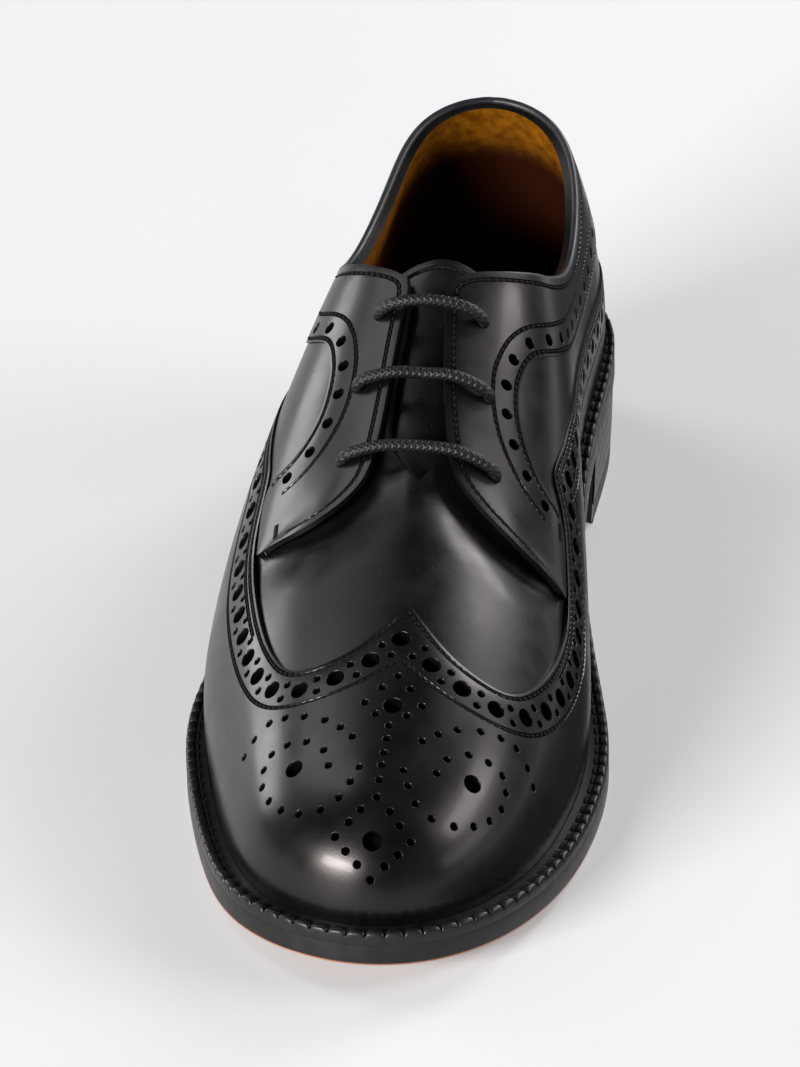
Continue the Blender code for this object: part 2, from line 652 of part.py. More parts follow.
def build_lace(index, colour, rough):
    """Straight lace bar from eyelet to eyelet, lying on the facings and crossing the throat."""
    beside, ahead = EYELETS[index]
    route = []
    for side in SIDES:
        sign = SIDES[side]
        edge = np.interp(-ahead, [-row.front_ahead for row in FACING[1:]], [row.front_beside for row in FACING[1:]])
        reach = [(beside + 0.3 * MM, 0.45 * LACE_LIFT), (beside - 2.4 * MM, LACE_LIFT)]
        reach += [((beside + edge) / 2, LACE_LIFT), (edge - 1.0 * MM, LACE_LIFT + 0.2 * MM)]
        spots = PATTERN.place(np.array([(sign * p, ahead) for p, _ in reach]))
        run = [layer_point(spots[k:k + 1, 0], spots[k:k + 1, 1], -lift)[0] for k, (_, lift) in enumerate(reach)]
        route += run if sign < 0 else run[::-1]
    route = smooth_rows(np.array(route), 15)
    curve = bpy.data.curves.new("lace_bar_%d" % (index + 1), "CURVE")
    curve.dimensions = "3D"
    curve.bevel_depth = LACE_RADIUS
    curve.bevel_resolution = 2
    curve.use_fill_caps = True
    line = curve.splines.new("POLY")
    line.points.add(len(route) - 1)
    for point, place in zip(line.points, route):
        point.co = (*place, 1)
    obj = bpy.data.objects.new(curve.name, curve)
    bpy.context.collection.objects.link(obj)
    shade(obj, colour, rough)
    return obj


def punch(facing, side):
    """Round lace holes through a facing."""
    for index, (beside, ahead) in enumerate(EYELETS):
        spot = PATTERN.place(np.array([(SIDES[side] * beside, ahead)]))
        middle = layer_point(spot[:, 0], spot[:, 1], OVERLAY / 2)[0]
        axis = Vector(last_normal(spot[:, 0], spot[:, 1])[0])
        shape = bmesh.new()
        bmesh.ops.create_cone(shape, cap_ends=True, segments=12, radius1=EYELET_RADIUS,
                              radius2=EYELET_RADIUS, depth=6 * OVERLAY)
        mesh = bpy.data.meshes.new("eyelet_cut_%s_%d" % (side, index + 1))
        shape.to_mesh(mesh)
        shape.free()
        cutter = bpy.data.objects.new(mesh.name, mesh)
        cutter.location = middle
        cutter.rotation_euler = axis.to_track_quat("Z", "Y").to_euler()
        cutter.hide_render = True
        cutter.display_type = "WIRE"
        bpy.context.collection.objects.link(cutter)
        cut = facing.modifiers.new("eyelet_%d" % (index + 1), "BOOLEAN")
        cut.operation = "DIFFERENCE"
        cut.object = cutter


def build():
    for obj in list(bpy.data.objects):
        bpy.data.objects.remove(obj, do_unlink=True)
    black, edge, tan, lining = (0.012, 0.012, 0.013), (0.015, 0.014, 0.013), (0.28, 0.10, 0.04), (0.20, 0.08, 0.02)
    inside = lambda loop: EDGE(along_of(sole_edge(loop)[:, 1])) + BASE_TOP + WALL + LAYER_GAP
    build_layer("outsole", lambda loop: 0 * loop, sole_under, sole_top, 34, tan, 0.5, 0.4 * MM)
    build_layer("insole", inside, lambda y: sole_top(y) + GAP,
                lambda y: sole_top(y) + GAP + INSOLE_THICK, 24, lining, 0.8)
    build_welt(edge, 0.4)
    floor = lambda y: 0 * y
    seat = lambda y: sole_under(y) - GAP
    build_heel_block("heel_stack", lambda y: 0 * y + TOP_PIECE_THICK + GAP, seat, (1.0 * MM, 0.3 * MM), edge, 0.4)
    build_heel_block("heel_top_piece", floor, lambda y: 0 * y + TOP_PIECE_THICK, (1.3 * MM, 1.0 * MM), black, 0.7)
    build_upper(black, 0.35)
    build_wing(black, 0.2)
    for side in SIDES:
        punch(build_facing(side, black, 0.22), side)
        build_quarter(side, black, 0.25)
    build_tongue(black, 0.4)
    for index in range(len(EYELETS)):
        build_lace(index, black, 0.5)


build()
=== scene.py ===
"""Looks of the derby shoe: pierced black leather on the last, braided lace, ribbed welt, leather sole.

Metres, +Z up, toe to -Y, inner side of the foot to +X. The last has the sizes and tables of the part's
source, so every leather piece lies on the surface that the solids were cut from. A few of them follow the
worn shoe more closely: the front of the collar, the top rows of the facings and of the throat slot, the
tongue, and the front end of the ridge, which runs out softly.
"""
import math
from collections import namedtuple

import bpy
import numpy as np
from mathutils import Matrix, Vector
from mathutils.bvhtree import BVHTree
from mathutils.geometry import barycentric_transform
from mathutils.interpolate import poly_3d_calc


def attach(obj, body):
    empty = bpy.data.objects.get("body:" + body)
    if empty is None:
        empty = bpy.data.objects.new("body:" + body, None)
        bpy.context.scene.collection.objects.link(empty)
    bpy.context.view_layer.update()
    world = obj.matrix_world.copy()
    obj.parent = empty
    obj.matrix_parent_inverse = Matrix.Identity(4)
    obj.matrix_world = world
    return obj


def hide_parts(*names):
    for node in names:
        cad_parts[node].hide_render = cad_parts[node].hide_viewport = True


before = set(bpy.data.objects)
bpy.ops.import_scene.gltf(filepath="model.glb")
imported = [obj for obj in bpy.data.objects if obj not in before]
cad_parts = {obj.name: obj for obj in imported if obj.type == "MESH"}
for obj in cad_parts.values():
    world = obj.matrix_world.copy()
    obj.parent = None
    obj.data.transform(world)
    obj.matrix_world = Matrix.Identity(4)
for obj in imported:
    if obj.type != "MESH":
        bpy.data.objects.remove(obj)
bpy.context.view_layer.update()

MM = 0.001

# Main sizes of the shoe
SOLE_LENGTH = 300 * MM
BALL_WIDTH = 109 * MM
INSTEP_HEIGHT = 98 * MM
HEEL_HEIGHT = 26 * MM
TOE_SPRING = 7 * MM
HEEL_LENGTH = 74 * MM
TOP_PIECE_THICK = 6 * MM
OUTSOLE_THICK = 5.5 * MM
WELT_THICK = 3.4 * MM
RIB_PITCH = 4.8 * MM
INSOLE_THICK = 2.5 * MM
GAP = 0.3 * MM

# Depths of the leather layers inside the last
OVERLAY = 1.3 * MM
QUARTER_TOP = 0.6 * MM
VAMP_TOP = 1.35 * MM
LINING_DEPTH = 3.9 * MM
TONGUE_TOP = 5.3 * MM
TONGUE_THICK = 1.7 * MM

# Half-widths of the sole as shares of the ball width, with the curve of the middle line
Outline = namedtuple("Outline", "along middle lateral medial")
OUTLINE = (
    Outline(0.05, 0.000, 0.260, 0.260),
    Outline(0.13, 0.000, 0.314, 0.321),
    Outline(0.28, 0.000, 0.347, 0.313),
    Outline(0.42, 0.000, 0.421, 0.339),
    Outline(0.55, 0.004, 0.503, 0.408),
    Outline(0.66, 0.012, 0.530, 0.458),
    Outline(0.76, 0.022, 0.492, 0.446),
    Outline(0.86, 0.027, 0.418, 0.390),
    Outline(0.94, 0.027, 0.310, 0.287),
)
TOE_MIDDLE = 0.027
END_ROUNDNESS = (0.642, 0.663)

# Underside of the outsole, and how far the sole edge stands out past the upper
Bottom = namedtuple("Bottom", "along lift edge")
BOTTOM = (
    Bottom(0.00, HEEL_HEIGHT, 3.0 * MM),
    Bottom(0.12, 0.965 * HEEL_HEIGHT, 3.0 * MM),
    Bottom(0.24, 0.880 * HEEL_HEIGHT, 3.3 * MM),
    Bottom(0.32, 0.715 * HEEL_HEIGHT, 3.8 * MM),
    Bottom(0.42, 0.400 * HEEL_HEIGHT, 4.4 * MM),
    Bottom(0.52, 0.115 * HEEL_HEIGHT, 5.2 * MM),
    Bottom(0.60, 0.0, 5.8 * MM),
    Bottom(0.71, 0.0, 6.0 * MM),
    Bottom(0.80, 0.16 * TOE_SPRING, 6.0 * MM),
    Bottom(0.90, 0.54 * TOE_SPRING, 6.0 * MM),
    Bottom(1.00, TOE_SPRING, 6.0 * MM),
)

# Ridge of the last: height as a share of the instep height, fullness of the top and of the wall
Ridge = namedtuple("Ridge", "along side height crown wall")
RIDGE = (
    Ridge(0.093, -1.0 * MM, 1.245, 0.47, 0.38),
    Ridge(0.200, 0.5 * MM, 1.220, 0.54, 0.44),
    Ridge(0.317, 0.5 * MM, 1.133, 0.53, 0.48),
    Ridge(0.393, -1.5 * MM, 1.005, 0.53, 0.50),
    Ridge(0.500, -1.0 * MM, 0.847, 0.52, 0.52),
    Ridge(0.617, 1.5 * MM, 0.699, 0.52, 0.55),
    Ridge(0.740, 4.0 * MM, 0.592, 0.55, 0.58),
    Ridge(0.873, 4.0 * MM, 0.474, 0.58, 0.60),
)

# How far the ribs gather at both ends of the ridge, and the share of their way on which they would use it up
# if they didn't slow down at its front end
RIDGE_EASE = 0.8
RIDGE_FULL = 0.985

# Outward lean of the wall at the feather line
Flare = namedtuple("Flare", "along lateral medial")
FLARE = (
    Flare(0.00, 0.16, 0.16),
    Flare(0.15, 0.14, 0.12),
    Flare(0.30, 0.35, 0.26),
    Flare(0.45, 0.47, 0.42),
    Flare(0.60, 0.39, 0.31),
    Flare(0.75, 0.20, 0.17),
    Flare(0.90, 0.12, 0.12),
    Flare(1.00, 0.12, 0.12),
)

# Collar line: height above the floor along the shoe
Collar = namedtuple("Collar", "along height")
COLLAR = (
    Collar(0.000, 96 * MM),
    Collar(0.040, 93 * MM),
    Collar(0.100, 86 * MM),
    Collar(0.200, 77.5 * MM),
    Collar(0.260, 78.5 * MM),
    Collar(0.305, 83.5 * MM),
    Collar(0.343, 90.5 * MM),
    Collar(0.365, 94.5 * MM),
    Collar(0.385, 97.4 * MM),
    Collar(0.410, 99.5 * MM),
)

# Wing cap: upper edge on the flat pattern (beside the ridge, from the heel) and the feather place below it
Wing = namedtuple("Wing", "loop beside ahead")
WING = (
    Wing(0.262, 47.4 * MM, 158.5 * MM),
    Wing(0.274, 48.3 * MM, 171.0 * MM),
    Wing(0.288, 47.4 * MM, 184.0 * MM),
    Wing(0.308, 44.6 * MM, 197.5 * MM),
    Wing(0.334, 40.6 * MM, 211.5 * MM),
    Wing(0.364, 34.8 * MM, 224.5 * MM),
    Wing(0.402, 26.0 * MM, 233.5 * MM),
    Wing(0.448, 12.3 * MM, 231.0 * MM),
    Wing(0.500, 0.0 * MM, 217.0 * MM),
)

# Lace facing: rear edge and front edge on the flat pattern, from its low corner to the top of the throat
Facing = namedtuple("Facing", "rear_beside rear_ahead front_beside front_ahead")
FACING = (
    Facing(46.7 * MM, 181.0 * MM, 43.5 * MM, 182.0 * MM),
    Facing(47.3 * MM, 171.0 * MM, 27.0 * MM, 184.5 * MM),
    Facing(46.3 * MM, 160.8 * MM, 14.5 * MM, 178.0 * MM),
    Facing(38.2 * MM, 158.4 * MM, 10.0 * MM, 167.5 * MM),
    Facing(30.6 * MM, 151.4 * MM, 7.9 * MM, 152.0 * MM),
    Facing(28.2 * MM, 141.5 * MM, 6.9 * MM, 139.0 * MM),
    Facing(29.6 * MM, 133.0 * MM, 6.0 * MM, 127.0 * MM),
    Facing(34.0 * MM, 126.5 * MM, 5.4 * MM, 117.4 * MM),
)
Eyelet = namedtuple("Eyelet", "beside ahead")
EYELETS = (
    Eyelet(15.5 * MM, 127.5 * MM),
    Eyelet(19.0 * MM, 147.0 * MM),
    Eyelet(21.5 * MM, 168.0 * MM),
)

# Rear of the shoe: heights of the wing edge and of the lower edge of the collar band
Rear = namedtuple("Rear", "along wing band")
REAR = (
    Rear(0.000, 53.0 * MM, 72.0 * MM),
    Rear(0.060, 53.0 * MM, 68.0 * MM),
    Rear(0.130, 53.5 * MM, 64.0 * MM),
    Rear(0.200, 55.0 * MM, 62.5 * MM),
    Rear(0.270, 57.0 * MM, 64.0 * MM),
    Rear(0.330, 59.0 * MM, 67.5 * MM),
    Rear(0.375, 60.3 * MM, 72.5 * MM),
    Rear(0.405, 60.8 * MM, 77.0 * MM),
    Rear(0.460, 60.4 * MM, 90.0 * MM),
    Rear(0.520, 58.2 * MM, 99.0 * MM),
)
REAR_LOOPS = (0.0006, 0.020, 0.042, 0.066, 0.092, 0.120, 0.148, 0.174, 0.196, 0.212)
WING_LOOPS = REAR_LOOPS + (0.226, 0.238, 0.250)

# Throat slot of the vamp, under the facings
Throat = namedtuple("Throat", "ahead half_gap")
THROAT = (
    Throat(100 * MM, 17.0 * MM),
    Throat(112 * MM, 12.5 * MM),
    Throat(119 * MM, 8.5 * MM),
    Throat(126 * MM, 7.0 * MM),
    Throat(138 * MM, 7.6 * MM),
    Throat(152 * MM, 8.6 * MM),
    Throat(161 * MM, 9.0 * MM),
    Throat(168 * MM, 7.0 * MM),
    Throat(174 * MM, 0.0 * MM),
    Throat(180 * MM, -9.0 * MM),
)
TONGUE_LENGTH = (111.5 * MM, 190 * MM)
TONGUE_HALF_WIDTH = (18 * MM, 22 * MM)
TONGUE_ARC = 3 * MM
TONGUE_DIP = 2.4 * MM
TONGUE_DIP_SHARE = 0.42
SIDES = {"lateral": -1, "medial": 1}

# The lace pulls the throat a little to the lateral side, more and more over these facing rows, and draws the
# eyelets together
THROAT_PULL = {"lateral": -1.3 * MM, "medial": -2.3 * MM}
THROAT_PULL_ROWS = (1, 2.5)
EYELET_DRAW = 1.1 * MM


# The last

RING_POINTS = 721
LOOP_STEP = 1e-4
RIDGE_STEP = 1e-3
UNROLL_STEPS = 17
CLIMBS = np.linspace(0, 1, 161)

# Directions of the last: steps around and up that they are taken over, and the climb where the ridge's begins
AROUND_STEP = 5e-4
UP_STEP = 0.002
TOP_CLIMB = 0.985
CREST_CLIMB = 0.94


def spline(xs, ys):
    """Natural cubic through the rows of a table."""
    xs, ys = np.asarray(xs, float), np.asarray(ys, float)
    step = np.diff(xs)
    rise = np.diff(ys) / step
    size = len(xs)
    matrix = np.eye(size)
    right = np.zeros(size)
    for i in range(1, size - 1):
        matrix[i, i - 1:i + 2] = step[i - 1], 2 * (step[i - 1] + step[i]), step[i]
        right[i] = 6 * (rise[i] - rise[i - 1])
    bend = np.linalg.solve(matrix, right)

    def at(x):
        x = np.clip(np.asarray(x, float), xs[0], xs[-1])
        i = np.clip(np.searchsorted(xs, x) - 1, 0, size - 2)
        left, past, h = xs[i + 1] - x, x - xs[i], step[i]
        cubic = (bend[i] * left ** 3 + bend[i + 1] * past ** 3) / (6 * h)
        return cubic + (ys[i] / h - bend[i] * h / 6) * left + (ys[i + 1] / h - bend[i + 1] * h / 6) * past

    return at


def column(table, key, value):
    return spline([getattr(row, key) for row in table], [getattr(row, value) for row in table])


def roundness(value):
    alongs = np.array([0.0] + [row.along for row in OUTLINE] + [1.0])
    turns = np.arccos(1 - 2 * alongs)
    widths = [getattr(row, value) for row in OUTLINE] / np.sin(turns[1:-1])
    return spline(turns, BALL_WIDTH * np.r_[END_ROUNDNESS[0], widths, END_ROUNDNESS[1]])


LATERAL, MEDIAL = roundness("lateral"), roundness("medial")
MIDDLE = spline([0.0] + [row.along for row in OUTLINE] + [1.0],
                BALL_WIDTH * np.array([0.0] + [row.middle for row in OUTLINE] + [TOE_MIDDLE]))
LIFT_CURVE, EDGE = column(BOTTOM, "along", "lift"), column(BOTTOM, "along", "edge")
RIDGE_SIDE, RIDGE_HEIGHT = column(RIDGE, "along", "side"), column(RIDGE, "along", "height")
CROWN, WALL_FULL = column(RIDGE, "along", "crown"), column(RIDGE, "along", "wall")
FLARE_LATERAL, FLARE_MEDIAL = column(FLARE, "along", "lateral"), column(FLARE, "along", "medial")
COLLAR_HEIGHT = column(COLLAR, "along", "height")
WING_HEIGHT, BAND_HEIGHT = column(REAR, "along", "wing"), column(REAR, "along", "band")
THROAT_GAP = column(THROAT, "ahead", "half_gap")


def unit(vectors):
    return vectors / np.linalg.norm(vectors, axis=-1, keepdims=True)


def sole_edge(loop, shift=None):
    """Sole outline in plan at a share of the loop: 0 heel, lateral side, 0.5 toe, medial side, 1 heel."""
    loop = np.asarray(loop, float)
    turn = 2 * math.pi * np.where(loop <= 0.5, loop, 1 - loop)
    along = (1 - np.cos(turn)) / 2
    width = np.where(loop <= 0.5, -LATERAL(turn), MEDIAL(turn)) * np.sin(turn)
    shift = SHIFT if shift is None else shift
    return np.stack([MIDDLE(along) + width - shift, SOLE_LENGTH * (0.5 - along)], -1)


RING = sole_edge(np.linspace(0, 1, RING_POINTS), 0.0)
SHIFT = (RING[:, 0].min() + RING[:, 0].max()) / 2


def edge_normal(loop):
    ahead = sole_edge(np.mod(loop + LOOP_STEP, 1)) - sole_edge(np.mod(loop - LOOP_STEP, 1))
    return unit(np.stack([ahead[..., 1], -ahead[..., 0]], -1))


def along_of(y):
    """Share of the sole's length, 0 at the heel."""
    return np.clip(0.5 - y / SOLE_LENGTH, 0, 1)


def inset(loop, distance):
    """Sole outline drawn in by a distance."""
    loop = np.asarray(loop, float)
    return sole_edge(loop) - edge_normal(loop) * np.broadcast_to(distance, loop.shape)[..., None]


def sole_under(y):
    return np.maximum(LIFT_CURVE(along_of(y)), 0.0)


def sole_top(y):
    return sole_under(y) + OUTSOLE_THICK


def share_along(loop):
    """Share of the shoe's length at a share of the loop."""
    return (1 - np.cos(2 * math.pi * np.asarray(loop))) / 2


def lean(loop):
    share = share_along(loop)
    return np.where(np.asarray(loop) <= 0.5, FLARE_LATERAL(share), FLARE_MEDIAL(share))


def rib_frame(loop):
    """Ridge place, plan direction and control points of a rib, and the slope of the ridge there."""
    foot = inset(loop, EDGE(along_of(sole_edge(loop)[..., 1])))
    foot_z = sole_top(foot[..., 1]) + GAP
    share = share_along(loop)
    eased = share - RIDGE_EASE * np.sin(2 * math.pi * share) / (2 * math.pi)
    run_out = 1 / RIDGE_FULL - 1
    reached = eased / RIDGE_FULL
    reached = reached - np.maximum(reached - 1 + run_out, 0) ** 2 / (4 * run_out)
    spot = RIDGE[0].along + (RIDGE[-1].along - RIDGE[0].along) * reached
    top = np.stack([RIDGE_SIDE(spot) - SHIFT, SOLE_LENGTH * (0.5 - spot)], -1)
    top_z = INSTEP_HEIGHT * RIDGE_HEIGHT(spot)
    climbed = RIDGE_HEIGHT(spot + RIDGE_STEP) - RIDGE_HEIGHT(spot - RIDGE_STEP)
    slope = INSTEP_HEIGHT * climbed / (2 * RIDGE_STEP * SOLE_LENGTH)
    way = foot - top
    span = np.linalg.norm(way, axis=-1)
    way = way / span[..., None]
    rise = (WALL_FULL(spot) * (top_z - foot_z))[..., None]
    reach = (CROWN(spot) * span)[..., None]
    first = np.concatenate([foot, foot_z[..., None]], -1)
    last = np.concatenate([top, top_z[..., None]], -1)
    second = first + rise * np.concatenate([lean(loop)[..., None] * way, np.ones_like(rise)], -1)
    third = last + reach * np.concatenate([way, (-way[..., 1] * slope)[..., None]], -1)
    return spot, way, (first, second, third, last), slope


def last_point(loop, climb):
    """Point of the last at a share of the loop and of the rib: 0 at the feather line, 1 at the ridge."""
    loop, climb = np.broadcast_arrays(np.asarray(loop, float), np.asarray(climb, float))
    first, second, third, last = rib_frame(loop)[2]
    up = climb[..., None]
    down = 1 - up
    return down ** 3 * first + 3 * down ** 2 * up * second + 3 * down * up ** 2 * third + up ** 3 * last


def last_normal(loop, climb):
    """Outward direction, led over to the ridge's own direction near the ridge."""
    loop, climb = np.broadcast_arrays(np.asarray(loop, float), np.asarray(climb, float))
    near = np.clip(climb, UP_STEP, TOP_CLIMB)
    around = last_point(np.mod(loop + AROUND_STEP, 1), near) - last_point(np.mod(loop - AROUND_STEP, 1), near)
    upward = last_point(loop, near + UP_STEP) - last_point(loop, near - UP_STEP)
    normal = unit(np.cross(around, upward))
    slope = rib_frame(loop)[3]
    crest = unit(np.stack([0 * slope, slope, np.ones_like(slope)], -1))
    share = np.clip((climb - CREST_CLIMB) / (1 - CREST_CLIMB), 0, 1)
    return unit(normal + (crest - normal) * share[..., None])


def layer_point(loop, climb, depth):
    """Point at a depth inside the last, kept clear of the sole."""
    depth = np.broadcast_to(depth, np.shape(loop))[..., None]
    point = last_point(loop, climb) - last_normal(loop, climb) * depth
    point[..., 2] = np.maximum(point[..., 2], sole_top(point[..., 1]) + GAP)
    return point


def flat(loop, climb):
    """Place on the flat pattern: each rib unrolled in its plan direction from the ridge."""
    loop, climb = np.broadcast_arrays(np.asarray(loop, float), np.asarray(climb, float))
    spot, way = rib_frame(loop)[:2]
    steps = climb[..., None] + (1 - climb[..., None]) * np.linspace(0, 1, UNROLL_STEPS)
    run = last_point(loop[..., None], steps)
    length = np.linalg.norm(np.diff(run, axis=-2), axis=-1).sum(-1)
    return np.stack([way[..., 0] * length, SOLE_LENGTH * spot - way[..., 1] * length], -1)


class Finder:
    """Finds loop and climb of points on one spread of the last, the flat pattern or the last itself."""

    def __init__(self, spread, ribs=150, rows=50, seam=0.0005):
        places, corners, triangles = [], [], []
        for start in (0.0, 1.0):
            loops = start + (0.5 - start) * np.linspace(seam, 1, ribs)
            grid = np.stack(np.meshgrid(loops, np.linspace(0, 1, rows), indexing="ij"), -1)
            spots = spread(grid[..., 0], grid[..., 1]).reshape(ribs * rows, -1)
            base = len(places)
            places.extend(grid.reshape(-1, 2))
            corners.extend(np.pad(spots, ((0, 0), (0, 3 - spots.shape[1]))))
            for i in range(ribs - 1):
                for j in range(rows - 1):
                    a, b = base + i * rows + j, base + (i + 1) * rows + j
                    triangles += [(a, b, b + 1), (a, b + 1, a + 1)]
        self.corners = [Vector(corner) for corner in corners]
        self.goals = [Vector((*place, 0.0)) for place in places]
        self.triangles = triangles
        self.tree = BVHTree.FromPolygons(self.corners, triangles)

    def find(self, points):
        """Loops and climbs of points."""
        points = np.asarray(points, float)
        rows = points.reshape(-1, points.shape[-1])
        found = []
        for row in np.pad(rows, ((0, 0), (0, 3 - rows.shape[1]))):
            spot, _, index, _ = self.tree.find_nearest(Vector(row))
            corners = [self.corners[k] for k in self.triangles[index]]
            goals = [self.goals[k] for k in self.triangles[index]]
            found.append(barycentric_transform(spot, *corners, *goals)[:2])
        found = np.array(found).reshape(*points.shape[:-1], 2)
        return found[..., 0], found[..., 1]


FLAT, SOLID = Finder(flat), Finder(last_point)


def eased_step(share):
    share = np.clip(share, 0, 1)
    return share ** 2 * (3 - 2 * share)


def round_loop(side, loop):
    """Shares of the loop on one side, from shares of its lateral half."""
    return np.asarray(loop) if SIDES[side] < 0 else 1 - np.asarray(loop)


def smooth_rows(points, at):
    """Curve through the rows, resampled at row positions."""
    points = np.asarray(points)
    steps = np.arange(len(points))
    return np.stack([spline(steps, points[:, k])(at) for k in range(points.shape[1])], -1)


def climb_at(loop, height):
    """Climb at which each rib reaches a height."""
    found = []
    for one, goal in zip(np.ravel(loop), np.ravel(height)):
        found.append(np.interp(goal, last_point(one, CLIMBS)[:, 2], CLIMBS))
    return np.array(found)


def rear_line(side, loops, height):
    """Flat places of a line at a table's height along the rear of one side."""
    around = round_loop(side, loops)
    return flat(around, climb_at(around, height(share_along(loops))))


def rib_end(loop):
    """Share of a rib where the collar or the throat cuts it, 1 where it runs to the ridge."""
    ends = []
    for one in np.ravel(loop):
        point, spread = last_point(one, CLIMBS), flat(one, CLIMBS)
        along = along_of(point[:, 1])
        over = np.where(along < COLLAR[-1].along, point[:, 2] - COLLAR_HEIGHT(along), -1)
        slot = np.where(spread[:, 1] > THROAT[0].ahead, THROAT_GAP(spread[:, 1]) - np.abs(spread[:, 0]), -1)
        level = np.maximum(over, slot)
        past = np.nonzero(level > 0)[0]
        end = 1.0
        if len(past):
            pair = slice(past[0] - 1, past[0] + 1)
            end = np.interp(0, level[pair], CLIMBS[pair])
        ends.append(end)
    return np.array(ends)


def drawn(side, rows, beside, ahead):
    """Flat places on one side from two columns of a table."""
    return np.array([(SIDES[side] * getattr(row, beside), getattr(row, ahead)) for row in rows])


def wing_edge(side, at):
    """Feather places and flat upper edge of the wing cap at row positions, back seam to peak."""
    loops = list(WING_LOOPS) + [row.loop for row in WING]
    high = np.concatenate([rear_line(side, WING_LOOPS, WING_HEIGHT), drawn(side, WING, "beside", "ahead")])
    return smooth_rows(np.array(loops)[:, None], at)[:, 0], smooth_rows(high, at)


# Row positions along a facing and along its collar band, and the rounding of the corner between them
FACING_AT = np.linspace(0, len(FACING) - 1, 71)
BAND_AT = np.linspace(0, len(REAR_LOOPS), 81)[1:]
CORNER = len(FACING_AT) - 1
CORNER_SPAN = 14
CORNER_ROUNDS = 22


def facing_edges(side):
    """Flat rear and front edges of a facing with its collar band, from its low corner to the back seam."""
    low = smooth_rows(drawn(side, FACING, "rear_beside", "rear_ahead"), FACING_AT)
    high = smooth_rows(drawn(side, FACING, "front_beside", "front_ahead"), FACING_AT)
    high[:, 0] += THROAT_PULL[side] * np.interp(FACING_AT, THROAT_PULL_ROWS, (0, 1))
    loops = round_loop(side, np.array(REAR_LOOPS[::-1]))
    band = np.concatenate([low[-1:], rear_line(side, REAR_LOOPS[::-1], BAND_HEIGHT)])
    collar = np.concatenate([high[-1:], flat(loops, rib_end(loops))])
    low = np.concatenate([low, smooth_rows(band, BAND_AT)])
    high = np.concatenate([high, smooth_rows(collar, BAND_AT)])
    corner = slice(CORNER - CORNER_SPAN, CORNER + CORNER_SPAN + 1)
    for line in (low, high):
        for _ in range(CORNER_ROUNDS):
            near = line[CORNER - CORNER_SPAN - 1:CORNER + CORNER_SPAN + 2]
            line[corner] = (near[:-2] + 2 * near[1:-1] + near[2:]) / 4
    return low, high


# Modelling

FACE_SAMPLE = 17
RIM_SEGMENTS = 3
ROW_KEPT = 0.94
FINE_WELD = 0.002 * MM


def activate(obj):
    if bpy.context.mode != "OBJECT":
        bpy.ops.object.mode_set(mode="OBJECT")
    bpy.ops.object.select_all(action="DESELECT")
    obj.select_set(True)
    bpy.context.view_layer.objects.active = obj


def added(name):
    """The object that was just made, named."""
    obj = bpy.context.object
    obj.name = name
    obj.data.name = name
    return obj


def shaped(obj, kind, **settings):
    """Adds a modifier with settings and applies it."""
    activate(obj)
    step = obj.modifiers.new(kind.title(), kind)
    for key, value in settings.items():
        setattr(step, key, value)
    bpy.ops.object.modifier_apply(modifier=step.name)


def edit(obj, *steps):
    """Runs edit-mode operators on everything in an object."""
    activate(obj)
    bpy.ops.object.mode_set(mode="EDIT")
    bpy.ops.mesh.select_all(action="SELECT")
    for operator, settings in steps:
        operator(**settings)
    bpy.ops.object.mode_set(mode="OBJECT")


def smooth(obj, degrees=38):
    activate(obj)
    bpy.ops.object.shade_smooth_by_angle(angle=math.radians(degrees))


def turned_out(obj):
    """Turns the faces of a closed shape outward."""
    edit(obj, (bpy.ops.mesh.normals_make_consistent, {"inside": False}))


def laid_grid(name, points, weld=0.02 * MM):
    """Grid primitive laid on given points, (across, up, 3), with its doubles merged."""
    across, up = points.shape[:2]
    bpy.ops.object.select_all(action="DESELECT")
    bpy.ops.mesh.primitive_grid_add(x_subdivisions=across - 1, y_subdivisions=up - 1)
    obj = added(name)
    obj.data.vertices.foreach_set("co", points.transpose(1, 0, 2).astype(np.float32).ravel())
    obj.data.update()
    edit(obj, (bpy.ops.mesh.remove_doubles, {"threshold": weld}))
    return obj


def outward(obj):
    """Turns a sheet's faces away from the middle of the shoe."""
    sample = list(obj.data.polygons)[::FACE_SAMPLE]
    away = last_normal(*SOLID.find([face.center for face in sample]))
    if np.sum(away * [face.normal for face in sample]) < 0:
        edit(obj, (bpy.ops.mesh.flip_normals, {}))


def rounded(obj, width, degrees):
    """Rounds the edges that turn by more than an angle."""
    shaped(obj, "BEVEL", width=width, segments=RIM_SEGMENTS, limit_method="ANGLE",
           angle_limit=math.radians(degrees))


def leather(name, points, thickness, rim=0.45 * MM):
    """Leather sheet on given points with a real thickness and a turned, rounded rim."""
    obj = laid_grid(name, points)
    outward(obj)
    shaped(obj, "SOLIDIFY", thickness=thickness, offset=-1.0, use_quality_normals=True)
    rounded(obj, rim, 55)
    return obj


def tree_of(obj):
    return BVHTree.FromObject(obj, bpy.context.evaluated_depsgraph_get())


def seat(tree, points, reach=8 * MM):
    """Points dropped along the last's own direction on a piece, with that direction."""
    normals = last_normal(*SOLID.find(points))
    seated = []
    for point, normal in zip(points, normals):
        hit = tree.ray_cast(Vector(point + reach * normal), Vector(-normal), 2 * reach)[0]
        seated.append(point if hit is None else hit)
    return np.array(seated), normals


def run_of(line):
    return np.r_[0, np.cumsum(np.linalg.norm(np.diff(line, axis=0), axis=1))]


def spaced(line, pitch, start=0.5):
    """Points at an even pitch along a line."""
    run = run_of(line)
    count = max(int(round(run[-1] / pitch)), 1)
    at = (np.arange(count) + start) * run[-1] / count
    return np.stack([np.interp(at, run, line[:, k]) for k in range(3)], -1)


